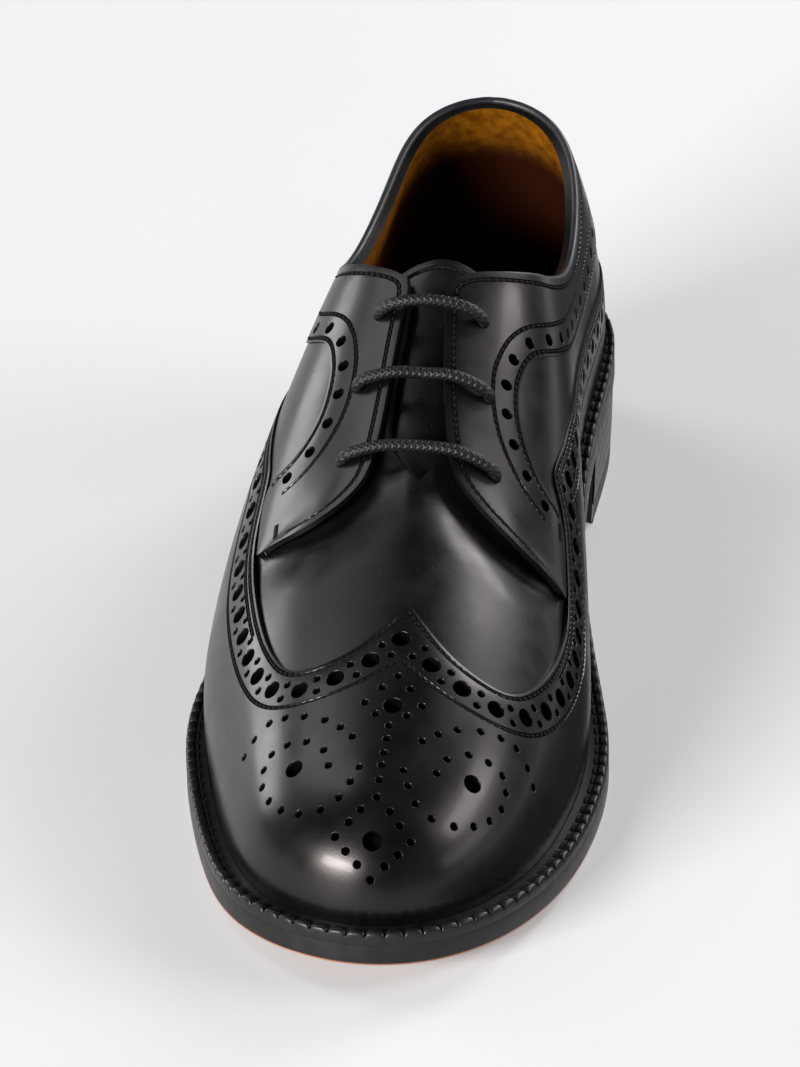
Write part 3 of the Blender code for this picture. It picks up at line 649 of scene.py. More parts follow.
def row_inside(edge, other, distance):
    """Line on the last at a distance from an edge, toward another line, without what comes too near."""
    tangent = unit(np.gradient(edge, axis=0))
    beside = np.cross(last_normal(*SOLID.find(edge)), tangent)
    beside = beside * np.sign(np.sum(beside * (other - edge)))
    line = last_point(*SOLID.find(edge + beside * distance))
    apart = np.linalg.norm(line[:, None] - edge[None], axis=-1).min(1)
    return line[apart > ROW_KEPT * distance]


Frames = namedtuple("Frames", "place along up")


def frames_on(tree, points, along):
    """Seated places of a row with a direction, laid flat on the piece, and the direction up."""
    place, up = seat(tree, points)
    return Frames(place, unit(along - up * np.sum(along * up, axis=1, keepdims=True)), up)


def row_frames(tree, points):
    """Seated places of a row with the direction along it."""
    return frames_on(tree, points, np.gradient(points, axis=0))


def mesh_arrays(obj):
    """Points and faces of a modelled shape, which is then removed."""
    points = np.array([vertex.co for vertex in obj.data.vertices])
    faces = [tuple(face.vertices) for face in obj.data.polygons]
    bpy.data.objects.remove(obj, do_unlink=True)
    return points, faces


def copies(name, shape, frames):
    """One mesh of copies of a shape, each turned to its own frame."""
    points, faces = shape
    across = np.cross(frames.up, frames.along)
    axes = np.stack([frames.along, across, frames.up], 1)
    spots = frames.place[:, None] + np.einsum("pk,nkc->npc", points, axes)
    size = len(points)
    corners = [tuple(i * size + k for k in face) for i in range(len(frames.place)) for face in faces]
    mesh = bpy.data.meshes.new(name)
    mesh.from_pydata(spots.reshape(-1, 3), [], corners)
    mesh.shade_smooth()
    obj = bpy.data.objects.new(name, mesh)
    bpy.context.collection.objects.link(obj)
    return obj


def joined(name, first, second):
    """Two pieces joined into one."""
    activate(first)
    second.select_set(True)
    bpy.ops.object.join()
    return added(name)


STITCH_FLAT = 0.8


def stitch_shape(length, thick):
    """One stitch: a stretched bead that lies half in the leather."""
    bpy.ops.object.select_all(action="DESELECT")
    bpy.ops.mesh.primitive_uv_sphere_add(segments=6, ring_count=5, radius=0.5, rotation=(0, math.pi / 2, 0))
    obj = added("stitch")
    bpy.ops.object.transform_apply(location=False, rotation=True, scale=False)
    edit(obj, (bpy.ops.transform.resize, {"value": (length, thick, STITCH_FLAT * thick)}))
    return mesh_arrays(obj)


# Soft rim of a punched hole: its size, how far below the face the punch starts to flare, and the steps of
# the flare as widths added to the hole and rises
SOFT_RIM = 0.32 * MM
FLARE_START = 0.9 * SOFT_RIM
RIM_FLARE = (
    (0.3 * SOFT_RIM, 0.6 * SOFT_RIM),
    (1.1 * SOFT_RIM, 0.5 * SOFT_RIM),
    (1.1 * SOFT_RIM, 5 * SOFT_RIM),
)


def punch_shape(radius, sides, depth=3.2 * MM):
    """Punch for one hole: straight below the leather's face, flared over its rim."""
    bpy.ops.object.select_all(action="DESELECT")
    bpy.ops.mesh.primitive_circle_add(vertices=sides, radius=radius, fill_type="NGON",
                                      location=(0, 0, -depth))
    obj = added("punch")
    bpy.ops.object.transform_apply(location=True, rotation=False, scale=False)
    activate(obj)
    bpy.ops.object.mode_set(mode="EDIT")
    bpy.ops.mesh.select_all(action="SELECT")
    wide = radius
    for wider, rise in ((0, depth - FLARE_START),) + RIM_FLARE:
        bpy.ops.mesh.extrude_region_move(TRANSFORM_OT_translate={"value": (0, 0, rise)})
        bpy.ops.transform.resize(value=((radius + wider) / wide, (radius + wider) / wide, 1))
        wide = radius + wider
    turned_out(obj)
    return mesh_arrays(obj)


def tube(name, line, radius, sides, taper=0):
    """Round cord mesh along a line, closed at both ends and drawn thin there over some points."""
    curve = bpy.data.curves.new(name, "CURVE")
    curve.dimensions = "3D"
    curve.bevel_depth = radius
    curve.bevel_resolution = sides // 2 - 1
    curve.use_fill_caps = True
    strand = curve.splines.new("POLY")
    strand.points.add(len(line) - 1)
    strand.points.foreach_set("co", np.pad(line, ((0, 0), (0, 1)), constant_values=1).ravel())
    from_end = np.minimum(np.arange(len(line)), np.arange(len(line))[::-1])
    strand.points.foreach_set("radius", np.clip((from_end + 1) / (taper + 1), 0, 1) ** 0.5)
    obj = bpy.data.objects.new(name, curve)
    bpy.context.collection.objects.link(obj)
    activate(obj)
    bpy.ops.object.convert(target="MESH")
    obj = added(name)
    edit(obj, (bpy.ops.mesh.remove_doubles, {"threshold": FINE_WELD}))
    turned_out(obj)
    return obj


def cut(obj, cutter):
    """Cuts a piece with a cutter, which is then removed."""
    shaped(obj, "BOOLEAN", operation="DIFFERENCE", solver="MANIFOLD", object=cutter)
    bpy.data.objects.remove(cutter, do_unlink=True)


# Even gloss of a pierced piece: rounds of evening, and how alike directions are that belong together
SHEEN_ROUNDS = 14
SHEEN_LIKE = 0.9
FACE_LIKE = 0.8
FACE_NEAR = 0.03 * MM


def sheen_of(obj):
    """Points, faces and evened directions of a piece before it is cut."""
    smooth(obj)
    mesh = obj.data
    points = [vertex.co.copy() for vertex in mesh.vertices]
    normals = np.array([normal.vector for normal in mesh.vertex_normals])
    ends = np.array([tuple(edge.vertices) for edge in mesh.edges])
    for _ in range(SHEEN_ROUNDS):
        near = ends[np.sum(normals[ends[:, 0]] * normals[ends[:, 1]], axis=1) > SHEEN_LIKE]
        total = normals.copy()
        np.add.at(total, near[:, 0], normals[near[:, 1]])
        np.add.at(total, near[:, 1], normals[near[:, 0]])
        normals = unit(total)
    return points, [tuple(face.vertices) for face in mesh.polygons], [Vector(normal) for normal in normals]


def keep_sheen(obj, sheen):
    """Gives the face of a pierced piece the directions it had before, so that its gloss stays even."""
    smooth(obj)
    points, faces, normals = sheen
    tree = BVHTree.FromPolygons(points, faces)
    mesh = obj.data
    even = []
    for vertex in mesh.vertices:
        spot, _, index, distance = tree.find_nearest(vertex.co)
        corners = faces[index]
        shares = poly_3d_calc([points[k] for k in corners], spot)
        normal = sum((normals[k] * share for k, share in zip(corners, shares)), Vector()).normalized()
        even.append((normal, distance < FACE_NEAR))
    corner_normals = [normal.vector.copy() for normal in mesh.corner_normals]
    for face in mesh.polygons:
        for corner in face.loop_indices:
            normal, on_face = even[mesh.loops[corner].vertex_index]
            if on_face and face.normal.dot(normal) > FACE_LIKE:
                corner_normals[corner] = normal
    mesh.normals_split_custom_set(corner_normals)


# Materials

# Shares of the noise over which the tone and the gloss of the patches change, and strength of the grain
TONE_FROM, TONE_TO = 0.32, 0.72
GLOSS_FROM, GLOSS_TO = 0.3, 0.7
GRAIN_STRENGTH = 0.6
DUST_CELL = 2.2 * MM
DUST_SIZE = 0.06
DUST_TONE = (0.05, 0.05, 0.05, 1)
FINISH_INPUTS = {
    "Dark": "Color", "Light": "Color", "Smoothest": "Float", "Roughest": "Float", "Patches": "Float",
    "Pores": "Float", "Depth": "Float", "Stretch": "Vector", "Dust": "Float",
}
FINISH_OUTPUTS = {"Colour": "Color", "Roughness": "Float", "Grain": "Vector"}


def wired(tree, kind, inputs, **settings):
    """Outputs of a new node; each of its inputs is given a value or the output that feeds it."""
    node = tree.nodes.new("ShaderNode" + kind)
    for key, value in settings.items():
        setattr(node, key, value)
    for key, value in inputs.items():
        if isinstance(value, bpy.types.NodeSocket):
            tree.links.new(value, node.inputs[key])
        else:
            node.inputs[key].default_value = value
    return node.outputs


def shared_finish():
    """Finish that every material uses: patches of two tones, uneven gloss, dust specks and a fine grain."""
    group = bpy.data.node_groups.new("finish", "ShaderNodeTree")
    for way, sockets in (("INPUT", FINISH_INPUTS), ("OUTPUT", FINISH_OUTPUTS)):
        for name, kind in sockets.items():
            group.interface.new_socket(name, in_out=way, socket_type="NodeSocket" + kind)
    given = group.nodes.new("NodeGroupInput").outputs
    place = wired(group, "TexCoord", {})["Object"]
    laid = wired(group, "Mapping", {"Vector": place, "Scale": given["Stretch"]})["Vector"]
    patch = wired(group, "TexNoise", {"Vector": laid, "Scale": given["Patches"], "Detail": 4})["Fac"]
    pores = wired(group, "TexNoise", {"Vector": laid, "Scale": given["Pores"], "Detail": 3})["Fac"]
    tone = wired(group, "MapRange", {"Value": patch, "From Min": TONE_FROM, "From Max": TONE_TO})["Result"]
    gloss = wired(group, "MapRange", {
        "Value": patch, "From Min": GLOSS_FROM, "From Max": GLOSS_TO,
        "To Min": given["Smoothest"], "To Max": given["Roughest"]})["Result"]
    clean = wired(group, "Mix", {"Factor": tone, "A": given["Dark"], "B": given["Light"]},
                  data_type="RGBA")["Result"]
    cells = wired(group, "TexVoronoi", {"Vector": place, "Scale": 1 / DUST_CELL})["Distance"]
    speck = wired(group, "Math", {0: cells, 1: DUST_SIZE}, operation="LESS_THAN")["Value"]
    dust = wired(group, "Math", {0: speck, 1: given["Dust"]}, operation="MULTIPLY")["Value"]
    colour = wired(group, "Mix", {"Factor": dust, "A": clean, "B": DUST_TONE}, data_type="RGBA")["Result"]
    grain = wired(group, "Bump", {
        "Height": pores, "Distance": given["Depth"], "Strength": GRAIN_STRENGTH})["Normal"]
    out = group.nodes.new("NodeGroupOutput").inputs
    for socket, result in (("Colour", colour), ("Roughness", gloss), ("Grain", grain)):
        group.links.new(result, out[socket])
    return group


FINISH = shared_finish()


def surface(name, dark, light, rough, patch, grain, depth, stretch=(1, 1, 1), dust=0.0,
            coat=0.0, coat_rough=0.1, specular=0.5, gloss=(1.0, 1.0, 1.0)):
    """Material in the shared finish; its patches, grain and depth of grain are in millimetres."""
    material = bpy.data.materials.new(name)
    material.use_nodes = True
    shader = material.node_tree.nodes["Principled BSDF"]
    shader.inputs["Coat Weight"].default_value = coat
    shader.inputs["Coat Roughness"].default_value = coat_rough
    shader.inputs["Specular IOR Level"].default_value = specular
    shader.inputs["Specular Tint"].default_value = (*gloss, 1)
    finish = wired(material.node_tree, "Group", {
        "Dark": (*dark, 1), "Light": (*light, 1), "Smoothest": rough[0], "Roughest": rough[1],
        "Patches": 1 / (patch * MM), "Pores": 1 / (grain * MM), "Depth": depth * MM, "Stretch": stretch,
        "Dust": dust}, node_tree=FINISH)
    for socket, target in (("Colour", "Base Color"), ("Roughness", "Roughness"), ("Grain", "Normal")):
        material.node_tree.links.new(finish[socket], shader.inputs[target])
    return material


def painted_shade(material, attribute, fade, tone):
    """Paints shade into a material: leads its colour over to a darker tone where an attribute of the piece
    passes two values.
    """
    tree = material.node_tree
    base = tree.nodes["Principled BSDF"].inputs["Base Color"]
    value = wired(tree, "Attribute", {}, attribute_name=attribute)["Fac"]
    share = wired(tree, "MapRange", {"Value": value, "From Min": fade[0], "From Max": fade[1]},
                  interpolation_type="SMOOTHSTEP")["Result"]
    colour = wired(tree, "Mix", {"Factor": share, "A": base.links[0].from_socket, "B": (*tone, 1)},
                   data_type="RGBA")["Result"]
    tree.links.new(colour, base)


BLACK = ((0.0018, 0.0018, 0.002), (0.0034, 0.0034, 0.0037))
WAX = (1.0, 0.9, 0.86)
POLISHED = surface("polished_black_leather", *BLACK, (0.27, 0.36), 9.0, 0.55, 0.03,
                   coat=0.08, coat_rough=0.12, specular=0.32, gloss=WAX)
SOFT = surface("soft_black_leather", *BLACK, (0.3, 0.42), 7.0, 0.5, 0.04, dust=1.0,
               coat=0.06, coat_rough=0.15, specular=0.32, gloss=WAX)
EDGE_BLACK = surface("black_sole_edge", (0.004, 0.0038, 0.0036), (0.010, 0.009, 0.0085), (0.36, 0.5),
                     3.0, 0.4, 0.04, coat=0.08, coat_rough=0.2, specular=0.3)
ROLLED = surface("collar_roll_leather", (0.006, 0.007, 0.010), (0.012, 0.013, 0.018), (0.38, 0.5),
                 4.0, 0.4, 0.05)
LINING = surface("brown_lining_leather", (0.10, 0.031, 0.001), (0.23, 0.082, 0.0025), (0.75, 0.9),
                 3.0, 0.35, 0.16, specular=0.04)
# Painted shade inside the shoe: the lining's colour turns near black from 6 to 19 mm below the collar line.
painted_shade(LINING, "below_collar", (6 * MM, 19 * MM), (0.017, 0.003, 0.0005))
SOCK = surface("brown_sock_leather", (0.02, 0.005, 0.001), (0.04, 0.011, 0.002), (0.7, 0.85),
               4.0, 0.4, 0.08, specular=0.1)
BACKING = surface("matte_backing_leather", (0.001, 0.001, 0.001), (0.002, 0.002, 0.002), (0.8, 0.95),
                  3.0, 0.3, 0.06, specular=0.04)
TAN = surface("tan_sole_leather", (0.25, 0.095, 0.05), (0.34, 0.14, 0.075), (0.42, 0.58),
              6.0, 0.4, 0.05, stretch=(1, 0.35, 1))
RUBBER = surface("heel_rubber", (0.012, 0.012, 0.012), (0.02, 0.02, 0.019), (0.6, 0.75), 3.0, 0.3, 0.05)
THREAD = surface("black_thread", (0.002, 0.002, 0.002), (0.005, 0.005, 0.005), (0.65, 0.8),
                 0.6, 0.25, 0.05, specular=0.15)
WAXED = surface("waxed_braid", (0.003, 0.003, 0.003), (0.008, 0.008, 0.008), (0.38, 0.52),
                0.8, 0.2, 0.06, specular=0.32)


def fitted(obj, slot, nodes, *materials):
    """Gives a finished piece its materials, hangs it under the root body and hides the solids that it stands
    for; its slot is not used.
    """
    obj.data.materials.clear()
    for material in materials:
        obj.data.materials.append(material)
    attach(obj, "root")
    if nodes:
        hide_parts(*nodes)


# Upper

# Stitches, and the groove that each row is sunk in
STITCH = stitch_shape(1.8 * MM, 0.85 * MM)
STITCH_PITCH = 2.1 * MM
STITCH_SINK = 0.24 * MM
GROOVE_RADIUS = 0.72 * MM
GROOVE_LIFT = 0.22 * MM
GROOVE_STEP = 1.5 * MM
GROOVE_SIDES = 8

# Punches, and the pitch of the big holes with the spread of the pairs between them
BIG_PUNCH = punch_shape(2.4 * MM, 20, 3.5 * MM)
SMALL_PUNCH = punch_shape(1.0 * MM, 12)
LACE_PUNCH = punch_shape(1.75 * MM, 20, 4.8 * MM)
FACING_PUNCH = punch_shape(1.6 * MM, 18)
BIG_PITCH = 9.9 * MM
PAIR_SPREAD = 2.1 * MM
HEELWARD = np.array((0.0, 1.0, 0.0))

# Wing cap: distance of stitch rows and of the hole row from the upper edge
WING_ROWS = (1.4 * MM, 11.3 * MM)
WING_SIDE_ROW = 3.1 * MM
WING_HOLES = 6.5 * MM

# Wing cap: row positions along its upper edge, closer in front, rows up each rib, and where the side row ends
WING_AT = np.r_[0:13:0.2, 13:21.01:0.1]
WING_RIB_ROWS = 40
WING_CROWD = 1.15
WING_SIDE = len(WING_AT) - 40

# Toe medallion, one half of its chart: beside the middle line, from the heel
LARGE = ((0, 250), (23.7, 265.6), (0, 290.5))
SMALL = (
    (0, 240.6), (3.5, 244.4), (7.1, 249), (3.9, 252.7),
    (0, 256.2), (0, 260.3), (0, 265.1), (0, 269.2), (0, 274), (0, 279),
    (8.7, 259.5), (12.2, 256.1), (16.7, 252.7), (22.7, 249.5), (28.5, 247.1), (33.6, 245.7), (38.7, 247.1),
    (42.7, 249.2),
    (5.6, 269.8), (7.4, 274.3), (10, 278.7), (14.9, 281), (21.5, 279.9), (27.3, 276.4), (31.6, 271.4),
    (34.3, 265.4), (34, 260.2), (31.5, 256.9), (26.6, 256.7), (20.9, 258.2), (15.7, 262.5), (13.9, 267.7),
    (3.8, 282.5), (6.8, 285.7), (10.5, 289), (7.4, 292.9), (4, 296.3), (0, 300),
)


def placed(low, high, rows, depth, crowd=1.0):
    """Points of a pattern piece between two flat lines, laid on the last."""
    share = np.linspace(0, 1, rows)[None, :, None] ** crowd
    loop, climb = FLAT.find(low[:, None] + (high - low)[:, None] * share)
    return layer_point(loop, climb, depth)


def both_halves(chart):
    """Points of a half chart and of its mirrored half, on the last."""
    spots = [(sign * p * MM, q * MM) for p, q in chart for sign in ((1,) if p == 0 else (1, -1))]
    return last_point(*FLAT.find(np.array(spots)))


def stitched(name, obj, tree, lines):
    """Rows of stitches, each sunk in a fine groove of the piece."""
    rows = [row_frames(tree, spaced(line, STITCH_PITCH)) for line in lines]
    frames = Frames(*[np.concatenate(parts) for parts in zip(*rows)])
    sunk = frames._replace(place=frames.place - STITCH_SINK * frames.up)
    fitted(copies(name, STITCH, sunk), None, (), THREAD)
    for line in lines:
        place, up = seat(tree, spaced(line, GROOVE_STEP))
        cut(obj, tube("groove", place + GROOVE_LIFT * up, GROOVE_RADIUS, GROOVE_SIDES))


def punched(pieces, tree, points, shape):
    """Holes at points, through the top piece and into the one under it, which shows its backing there."""
    frames = frames_on(tree, points, HEELWARD)
    for piece in pieces:
        punches = copies("punches", shape, frames)
        punches.data.materials.append(BACKING)
        cut(piece, punches)


def hole_row(tree, line, pitch, first):
    """Places of the big holes along a line and of the pairs between them."""
    big = spaced(line, pitch, 0.0)[first:]
    between = row_frames(tree, spaced(line, pitch))
    across = np.cross(between.up, between.along) * PAIR_SPREAD
    return big, np.concatenate([between.place + across, between.place - across])


def split_at_peak(line):
    """The lateral and medial halves of a line, each from the peak to the back seam."""
    lateral = SOLID.find(line)[0] < 0.5
    return line[lateral][::-1], line[~lateral]


def build_wing(shell):
    lows, highs = [], []
    for side in SIDES:
        loops, high = wing_edge(side, WING_AT)
        low = flat(round_loop(side, loops), np.zeros(len(loops)))
        lows.append(low if side == "lateral" else low[-2::-1])
        highs.append(high if side == "lateral" else high[-2::-1])
    points = placed(np.concatenate(lows), np.concatenate(highs), WING_RIB_ROWS, 0.0, WING_CROWD)
    edge, foot = points[:, -1], points[:, 0]
    cap = leather("wing_cap_leather", points, OVERLAY)
    tree, sheen = tree_of(cap), sheen_of(cap)
    halves = split_at_peak(row_inside(edge, foot, WING_HOLES))
    rows = [hole_row(tree, half, BIG_PITCH, k) for k, half in enumerate(halves)]
    lines = [half for distance in WING_ROWS for half in split_at_peak(row_inside(edge, foot, distance))]
    for part in (slice(0, WING_SIDE), slice(-WING_SIDE, None)):
        lines.append(row_inside(edge[part], foot[part], WING_SIDE_ROW))
    stitched("wing_stitches", cap, tree, lines)
    punched((cap, shell), tree, np.concatenate([rows[0][0], rows[1][0], both_halves(LARGE)]), BIG_PUNCH)
    punched((cap, shell), tree, np.concatenate([rows[0][1], rows[1][1], both_halves(SMALL)]), SMALL_PUNCH)
    keep_sheen(cap, sheen)
    fitted(cap, "upper_leather", ("wing_cap",), POLISHED)


# Facing: how far its front edge stands off the last, by positions along it, then its rows, thickness and rim
FACING_LIFT = ((0, 12, 30, 60, 72), (0.3 * MM, 1.5 * MM, 1.0 * MM, 0.7 * MM, 0.0))
FACING_ROWS = 22
FACING_THICK = OVERLAY + 0.2 * MM
FACING_RIM = 0.55 * MM

# Facing: distances of the holes and of the stitch rows from its edges, and where rows and quarter start
FACING_HOLES = 4.2 * MM
FACING_PITCH = 9.0 * MM
FACING_BAND_ROWS = (1.2 * MM, 8.2 * MM)
FACING_FRONT_ROW = 2.3 * MM
FACING_FRONT_START = 4
QUARTER_START = 20

# Bar-tack at the low corner of a facing: flat place, length and pitch of its stitches
TACK_AT = {"lateral": (-40.2 * MM, 178.6 * MM), "medial": (45.2 * MM, 164.8 * MM)}
TACK_LENGTH = 4.2 * MM
TACK_PITCH = 0.55 * MM
TACK_STITCH = stitch_shape(1.7 * MM, 0.7 * MM)


def bar_tack(side, tree):
    """Short row of stitches laid side by side that holds the facing on the vamp."""
    steps = np.arange(-TACK_LENGTH / 2, TACK_LENGTH / 2, TACK_PITCH)
    spots = last_point(*FLAT.find(np.array(TACK_AT[side]) + np.column_stack([0 * steps, steps])))
    row = row_frames(tree, spots)
    across = row._replace(along=np.cross(row.up, row.along))
    fitted(copies("bar_tack_" + side, TACK_STITCH, across), None, (), THREAD)


def build_facing(side, shell):
    low, high = facing_edges(side)
    share = eased_step(2 * np.linspace(0, 1, FACING_ROWS) - 1)
    lift = np.interp(np.arange(len(low)), *FACING_LIFT)
    points = placed(low, high, FACING_ROWS, -lift[:, None] * share[None, :])
    facing = leather("facing_leather_" + side, points, FACING_THICK, FACING_RIM)
    tree, sheen = tree_of(facing), sheen_of(facing)
    rear, front = points[:, 0], points[:, -1]
    band, beyond = rear[QUARTER_START:], front[QUARTER_START:]
    lines = [row_inside(band, beyond, distance) for distance in FACING_BAND_ROWS]
    lines.append(row_inside(front[FACING_FRONT_START:], rear[FACING_FRONT_START:], FACING_FRONT_ROW))
    stitched("facing_stitches_" + side, facing, tree, lines)
    bar_tack(side, tree)
    holes = spaced(row_inside(band, beyond, FACING_HOLES), FACING_PITCH)
    punched((facing, shell), tree, holes, FACING_PUNCH)
    eyelets = np.array([(SIDES[side] * (row.beside - EYELET_DRAW), row.ahead) for row in EYELETS])
    punched((facing, shell), tree, last_point(*FLAT.find(eyelets)), LACE_PUNCH)
    keep_sheen(facing, sheen)
    fitted(facing, "upper_leather", ("facing_" + side,), POLISHED)


QUARTER_ROWS = 14
QUARTER_RIM = 0.2 * MM
TUCK = 1.2 * MM


def tucked(line, other):
    """Flat line moved away from another line, so that the leather runs under the piece beside it."""
    ahead = np.gradient(line, axis=0)
    square = unit(np.stack([-ahead[:, 1], ahead[:, 0]], -1))
    return line - TUCK * np.sign(np.sum((other - line) * square)) * square


def build_quarter(side):
    upper = facing_edges(side)[0][QUARTER_START:]
    rear = len(REAR_LOOPS)
    front = len(FACING_AT) - QUARTER_START
    at = np.r_[np.linspace(len(WING_LOOPS), rear, front), np.linspace(rear, 0, len(BAND_AT) + 1)[1:]]
    lower = wing_edge(side, at)[1]
    points = placed(tucked(lower, upper), tucked(upper, lower), QUARTER_ROWS, QUARTER_TOP)
    quarter = leather("quarter_leather_" + side, points, OVERLAY - QUARTER_TOP, QUARTER_RIM)
    smooth(quarter)
    fitted(quarter, "upper_leather", ("quarter_" + side,), POLISHED)


VAMP_RIBS = 161
VAMP_ROWS = 44
RIDGE_WELD = 0.3 * MM
SEAM_WELD = 0.05 * MM

# Hollow of the vamp along the front edges of the facings: depth, reach ahead of the edge and under it,
# positions along the edge, and how it starts at the low corner
HOLLOW_DEPTH = 2.0 * MM
HOLLOW_AHEAD = 17 * MM
HOLLOW_UNDER = 6 * MM
HOLLOW_EDGE = 30
HOLLOW_RUN_IN = 8
HOLLOW_LEAST = 0.2


def hollow(loop, climb):
    """How far the vamp dips where it runs under the facings."""
    spots = flat(loop, climb).reshape(-1, 1, 2)
    edges = np.concatenate([facing_edges(side)[1][:HOLLOW_EDGE] for side in SIDES])[None]
    strength = np.tile(np.clip(np.arange(HOLLOW_EDGE) / HOLLOW_RUN_IN, HOLLOW_LEAST, 1), len(SIDES))
    reach = np.where(spots[..., 1] > edges[..., 1], HOLLOW_AHEAD, HOLLOW_UNDER)
    fall = eased_step(1 - np.linalg.norm(spots - edges, axis=-1) / reach)
    return HOLLOW_DEPTH * np.max(strength * fall, axis=1).reshape(np.shape(loop))


def build_vamp():
    """Vamp, counter and lining as one shell, open at the collar, the throat and underneath."""
    halves = []
    for side in SIDES:
        loops = round_loop(side, np.linspace(0, 0.5, VAMP_RIBS))
        climb = rib_end(loops)[:, None] * np.linspace(0, 1, VAMP_ROWS)[None, :]
        around = np.repeat(loops[:, None], VAMP_ROWS, axis=1)
        points = layer_point(around, climb, VAMP_TOP + hollow(around, climb))
        halves.append(laid_grid("vamp_" + side, points, RIDGE_WELD))
        outward(halves[-1])
    shell = joined("vamp_and_lining", *halves)
    edit(shell, (bpy.ops.mesh.remove_doubles, {"threshold": SEAM_WELD}))
    fitted(shell, "upper_leather", ("upper",), SOFT, LINING, BACKING)
    shaped(shell, "SOLIDIFY", thickness=LINING_DEPTH - VAMP_TOP, offset=-1.0, use_quality_normals=True,
           material_offset=1)
    return shell


def mark_shade_depth(shell):
    """Keeps on the shell how far each point lies below the collar line, for the painted shade of the lining.
    """
    points = np.array([vertex.co for vertex in shell.data.vertices])
    below = shell.data.attributes.new("below_collar", "FLOAT", "POINT")
    below.data.foreach_set("value", COLLAR_HEIGHT(along_of(points[:, 1])) - points[:, 2])


TONGUE_COLUMNS = 31
TONGUE_ROWS = 50
TONGUE_RIM = 0.5 * MM
TONGUE_STITCH_ROW = 2.6 * MM


def build_tongue():
    across = np.linspace(-1, 1, TONGUE_COLUMNS)
    top = np.stack([across * TONGUE_HALF_WIDTH[0], TONGUE_LENGTH[0] + TONGUE_ARC * across ** 2], -1)
    foot = np.stack([across * TONGUE_HALF_WIDTH[1], 0 * across + TONGUE_LENGTH[1]], -1)
    depth = TONGUE_TOP + TONGUE_DIP * eased_step(1 - np.linspace(0, 1, TONGUE_ROWS) / TONGUE_DIP_SHARE)
    points = placed(foot, top, TONGUE_ROWS, np.tile(depth, (TONGUE_COLUMNS, 1)))
    tongue = leather("tongue_leather", points, TONGUE_THICK, TONGUE_RIM)
    tree, sheen = tree_of(tongue), sheen_of(tongue)
    stitched("tongue_stitches", tongue, tree, [row_inside(points[:, -1], points[:, -2], TONGUE_STITCH_ROW)])
    keep_sheen(tongue, sheen)
    fitted(tongue, "upper_leather", ("tongue",), SOFT)


ROLL_RADIUS = 1.05 * MM
ROLL_START = CORNER + 4
ROLL_SIDES = 12
ROLL_TAPER = 9
ROUND_ANGLE = 60


def build_collar_roll():
    """Rolled edge round the collar, from one facing to the other."""
    lines = []
    for side in SIDES:
        loop, climb = FLAT.find(facing_edges(side)[1][ROLL_START:])
        lines.append(layer_point(loop, climb, ROLL_RADIUS))
    line = np.concatenate([lines[0], lines[1][::-1]])
    roll = tube("collar_roll", line, ROLL_RADIUS, ROLL_SIDES, ROLL_TAPER)
    smooth(roll, ROUND_ANGLE)
    fitted(roll, "edge_leather", (), ROLLED)


# Lace

LACE_RADIUS = 1.6 * MM
LACE_LIFT = LACE_RADIUS + 0.5 * MM
LACE_CROWN = (1.3 * MM, -1.0 * MM, -1.0 * MM)
LACE_STEP = 0.16 * MM
LACE_SIDES = 36
LACE_WELD = 0.005 * MM
BRAID_STRANDS = 6
BRAID_PITCH = 1.6 * MM
BRAID_DEPTH = 0.13 * MM

# Runs under the facings: depth, place beside the line of the eyelets, points, and how flat they are pressed
HIDDEN_DEPTH = 4.6 * MM
HIDDEN_ASIDE = 1.5 * MM
HIDDEN_SHARES = (0.25, 0.5, 0.75)
HIDDEN_FLAT = 0.3

# Half of a bar, from under the eyelet to the throat: share of the way from the eyelet to the facing's edge,
# place aside of that, height over the last, and share of the bar's crown
Bend = namedtuple("Bend", "share aside lift crown")
BAR = (
    Bend(0.0, 0.5 * MM, -HIDDEN_DEPTH, 0.0),
    Bend(0.0, 0.4 * MM, -1.8 * MM, 0.0),
    Bend(0.0, 0.0 * MM, 0.6 * MM, 0.0),
    Bend(0.0, -2.2 * MM, LACE_LIFT, 0.0),
    Bend(0.5, 0.0 * MM, LACE_LIFT + 0.3 * MM, 0.4),
    Bend(1.0, -1.0 * MM, LACE_LIFT + 0.2 * MM, 0.8),
)


def lace_bar(index):
    """Route of a bar from the lateral to the medial eyelet: flat place and height over the last."""
    beside, ahead = EYELETS[index].beside - EYELET_DRAW, EYELETS[index].ahead
    fronts = FACING[1:]
    edge = np.interp(-ahead, [-row.front_ahead for row in fronts], [row.front_beside for row in fronts])
    rise = max(LACE_CROWN[index], 0.0)
    half = [(beside + (edge - beside) * bend.share + bend.aside, bend.lift + bend.crown * rise)
            for bend in BAR]
    crown = [(0.0, ahead, LACE_LIFT + LACE_CROWN[index])]
    return [(-p, ahead, lift) for p, lift in half] + crown + [(p, ahead, lift) for p, lift in half[::-1]]


def hidden_run(start, end, sign):
    """Route under a facing from one eyelet to another."""
    return [(sign * (start.beside + (end.beside - start.beside) * share + HIDDEN_ASIDE),
             start.ahead + (end.ahead - start.ahead) * share, -HIDDEN_DEPTH) for share in HIDDEN_SHARES]


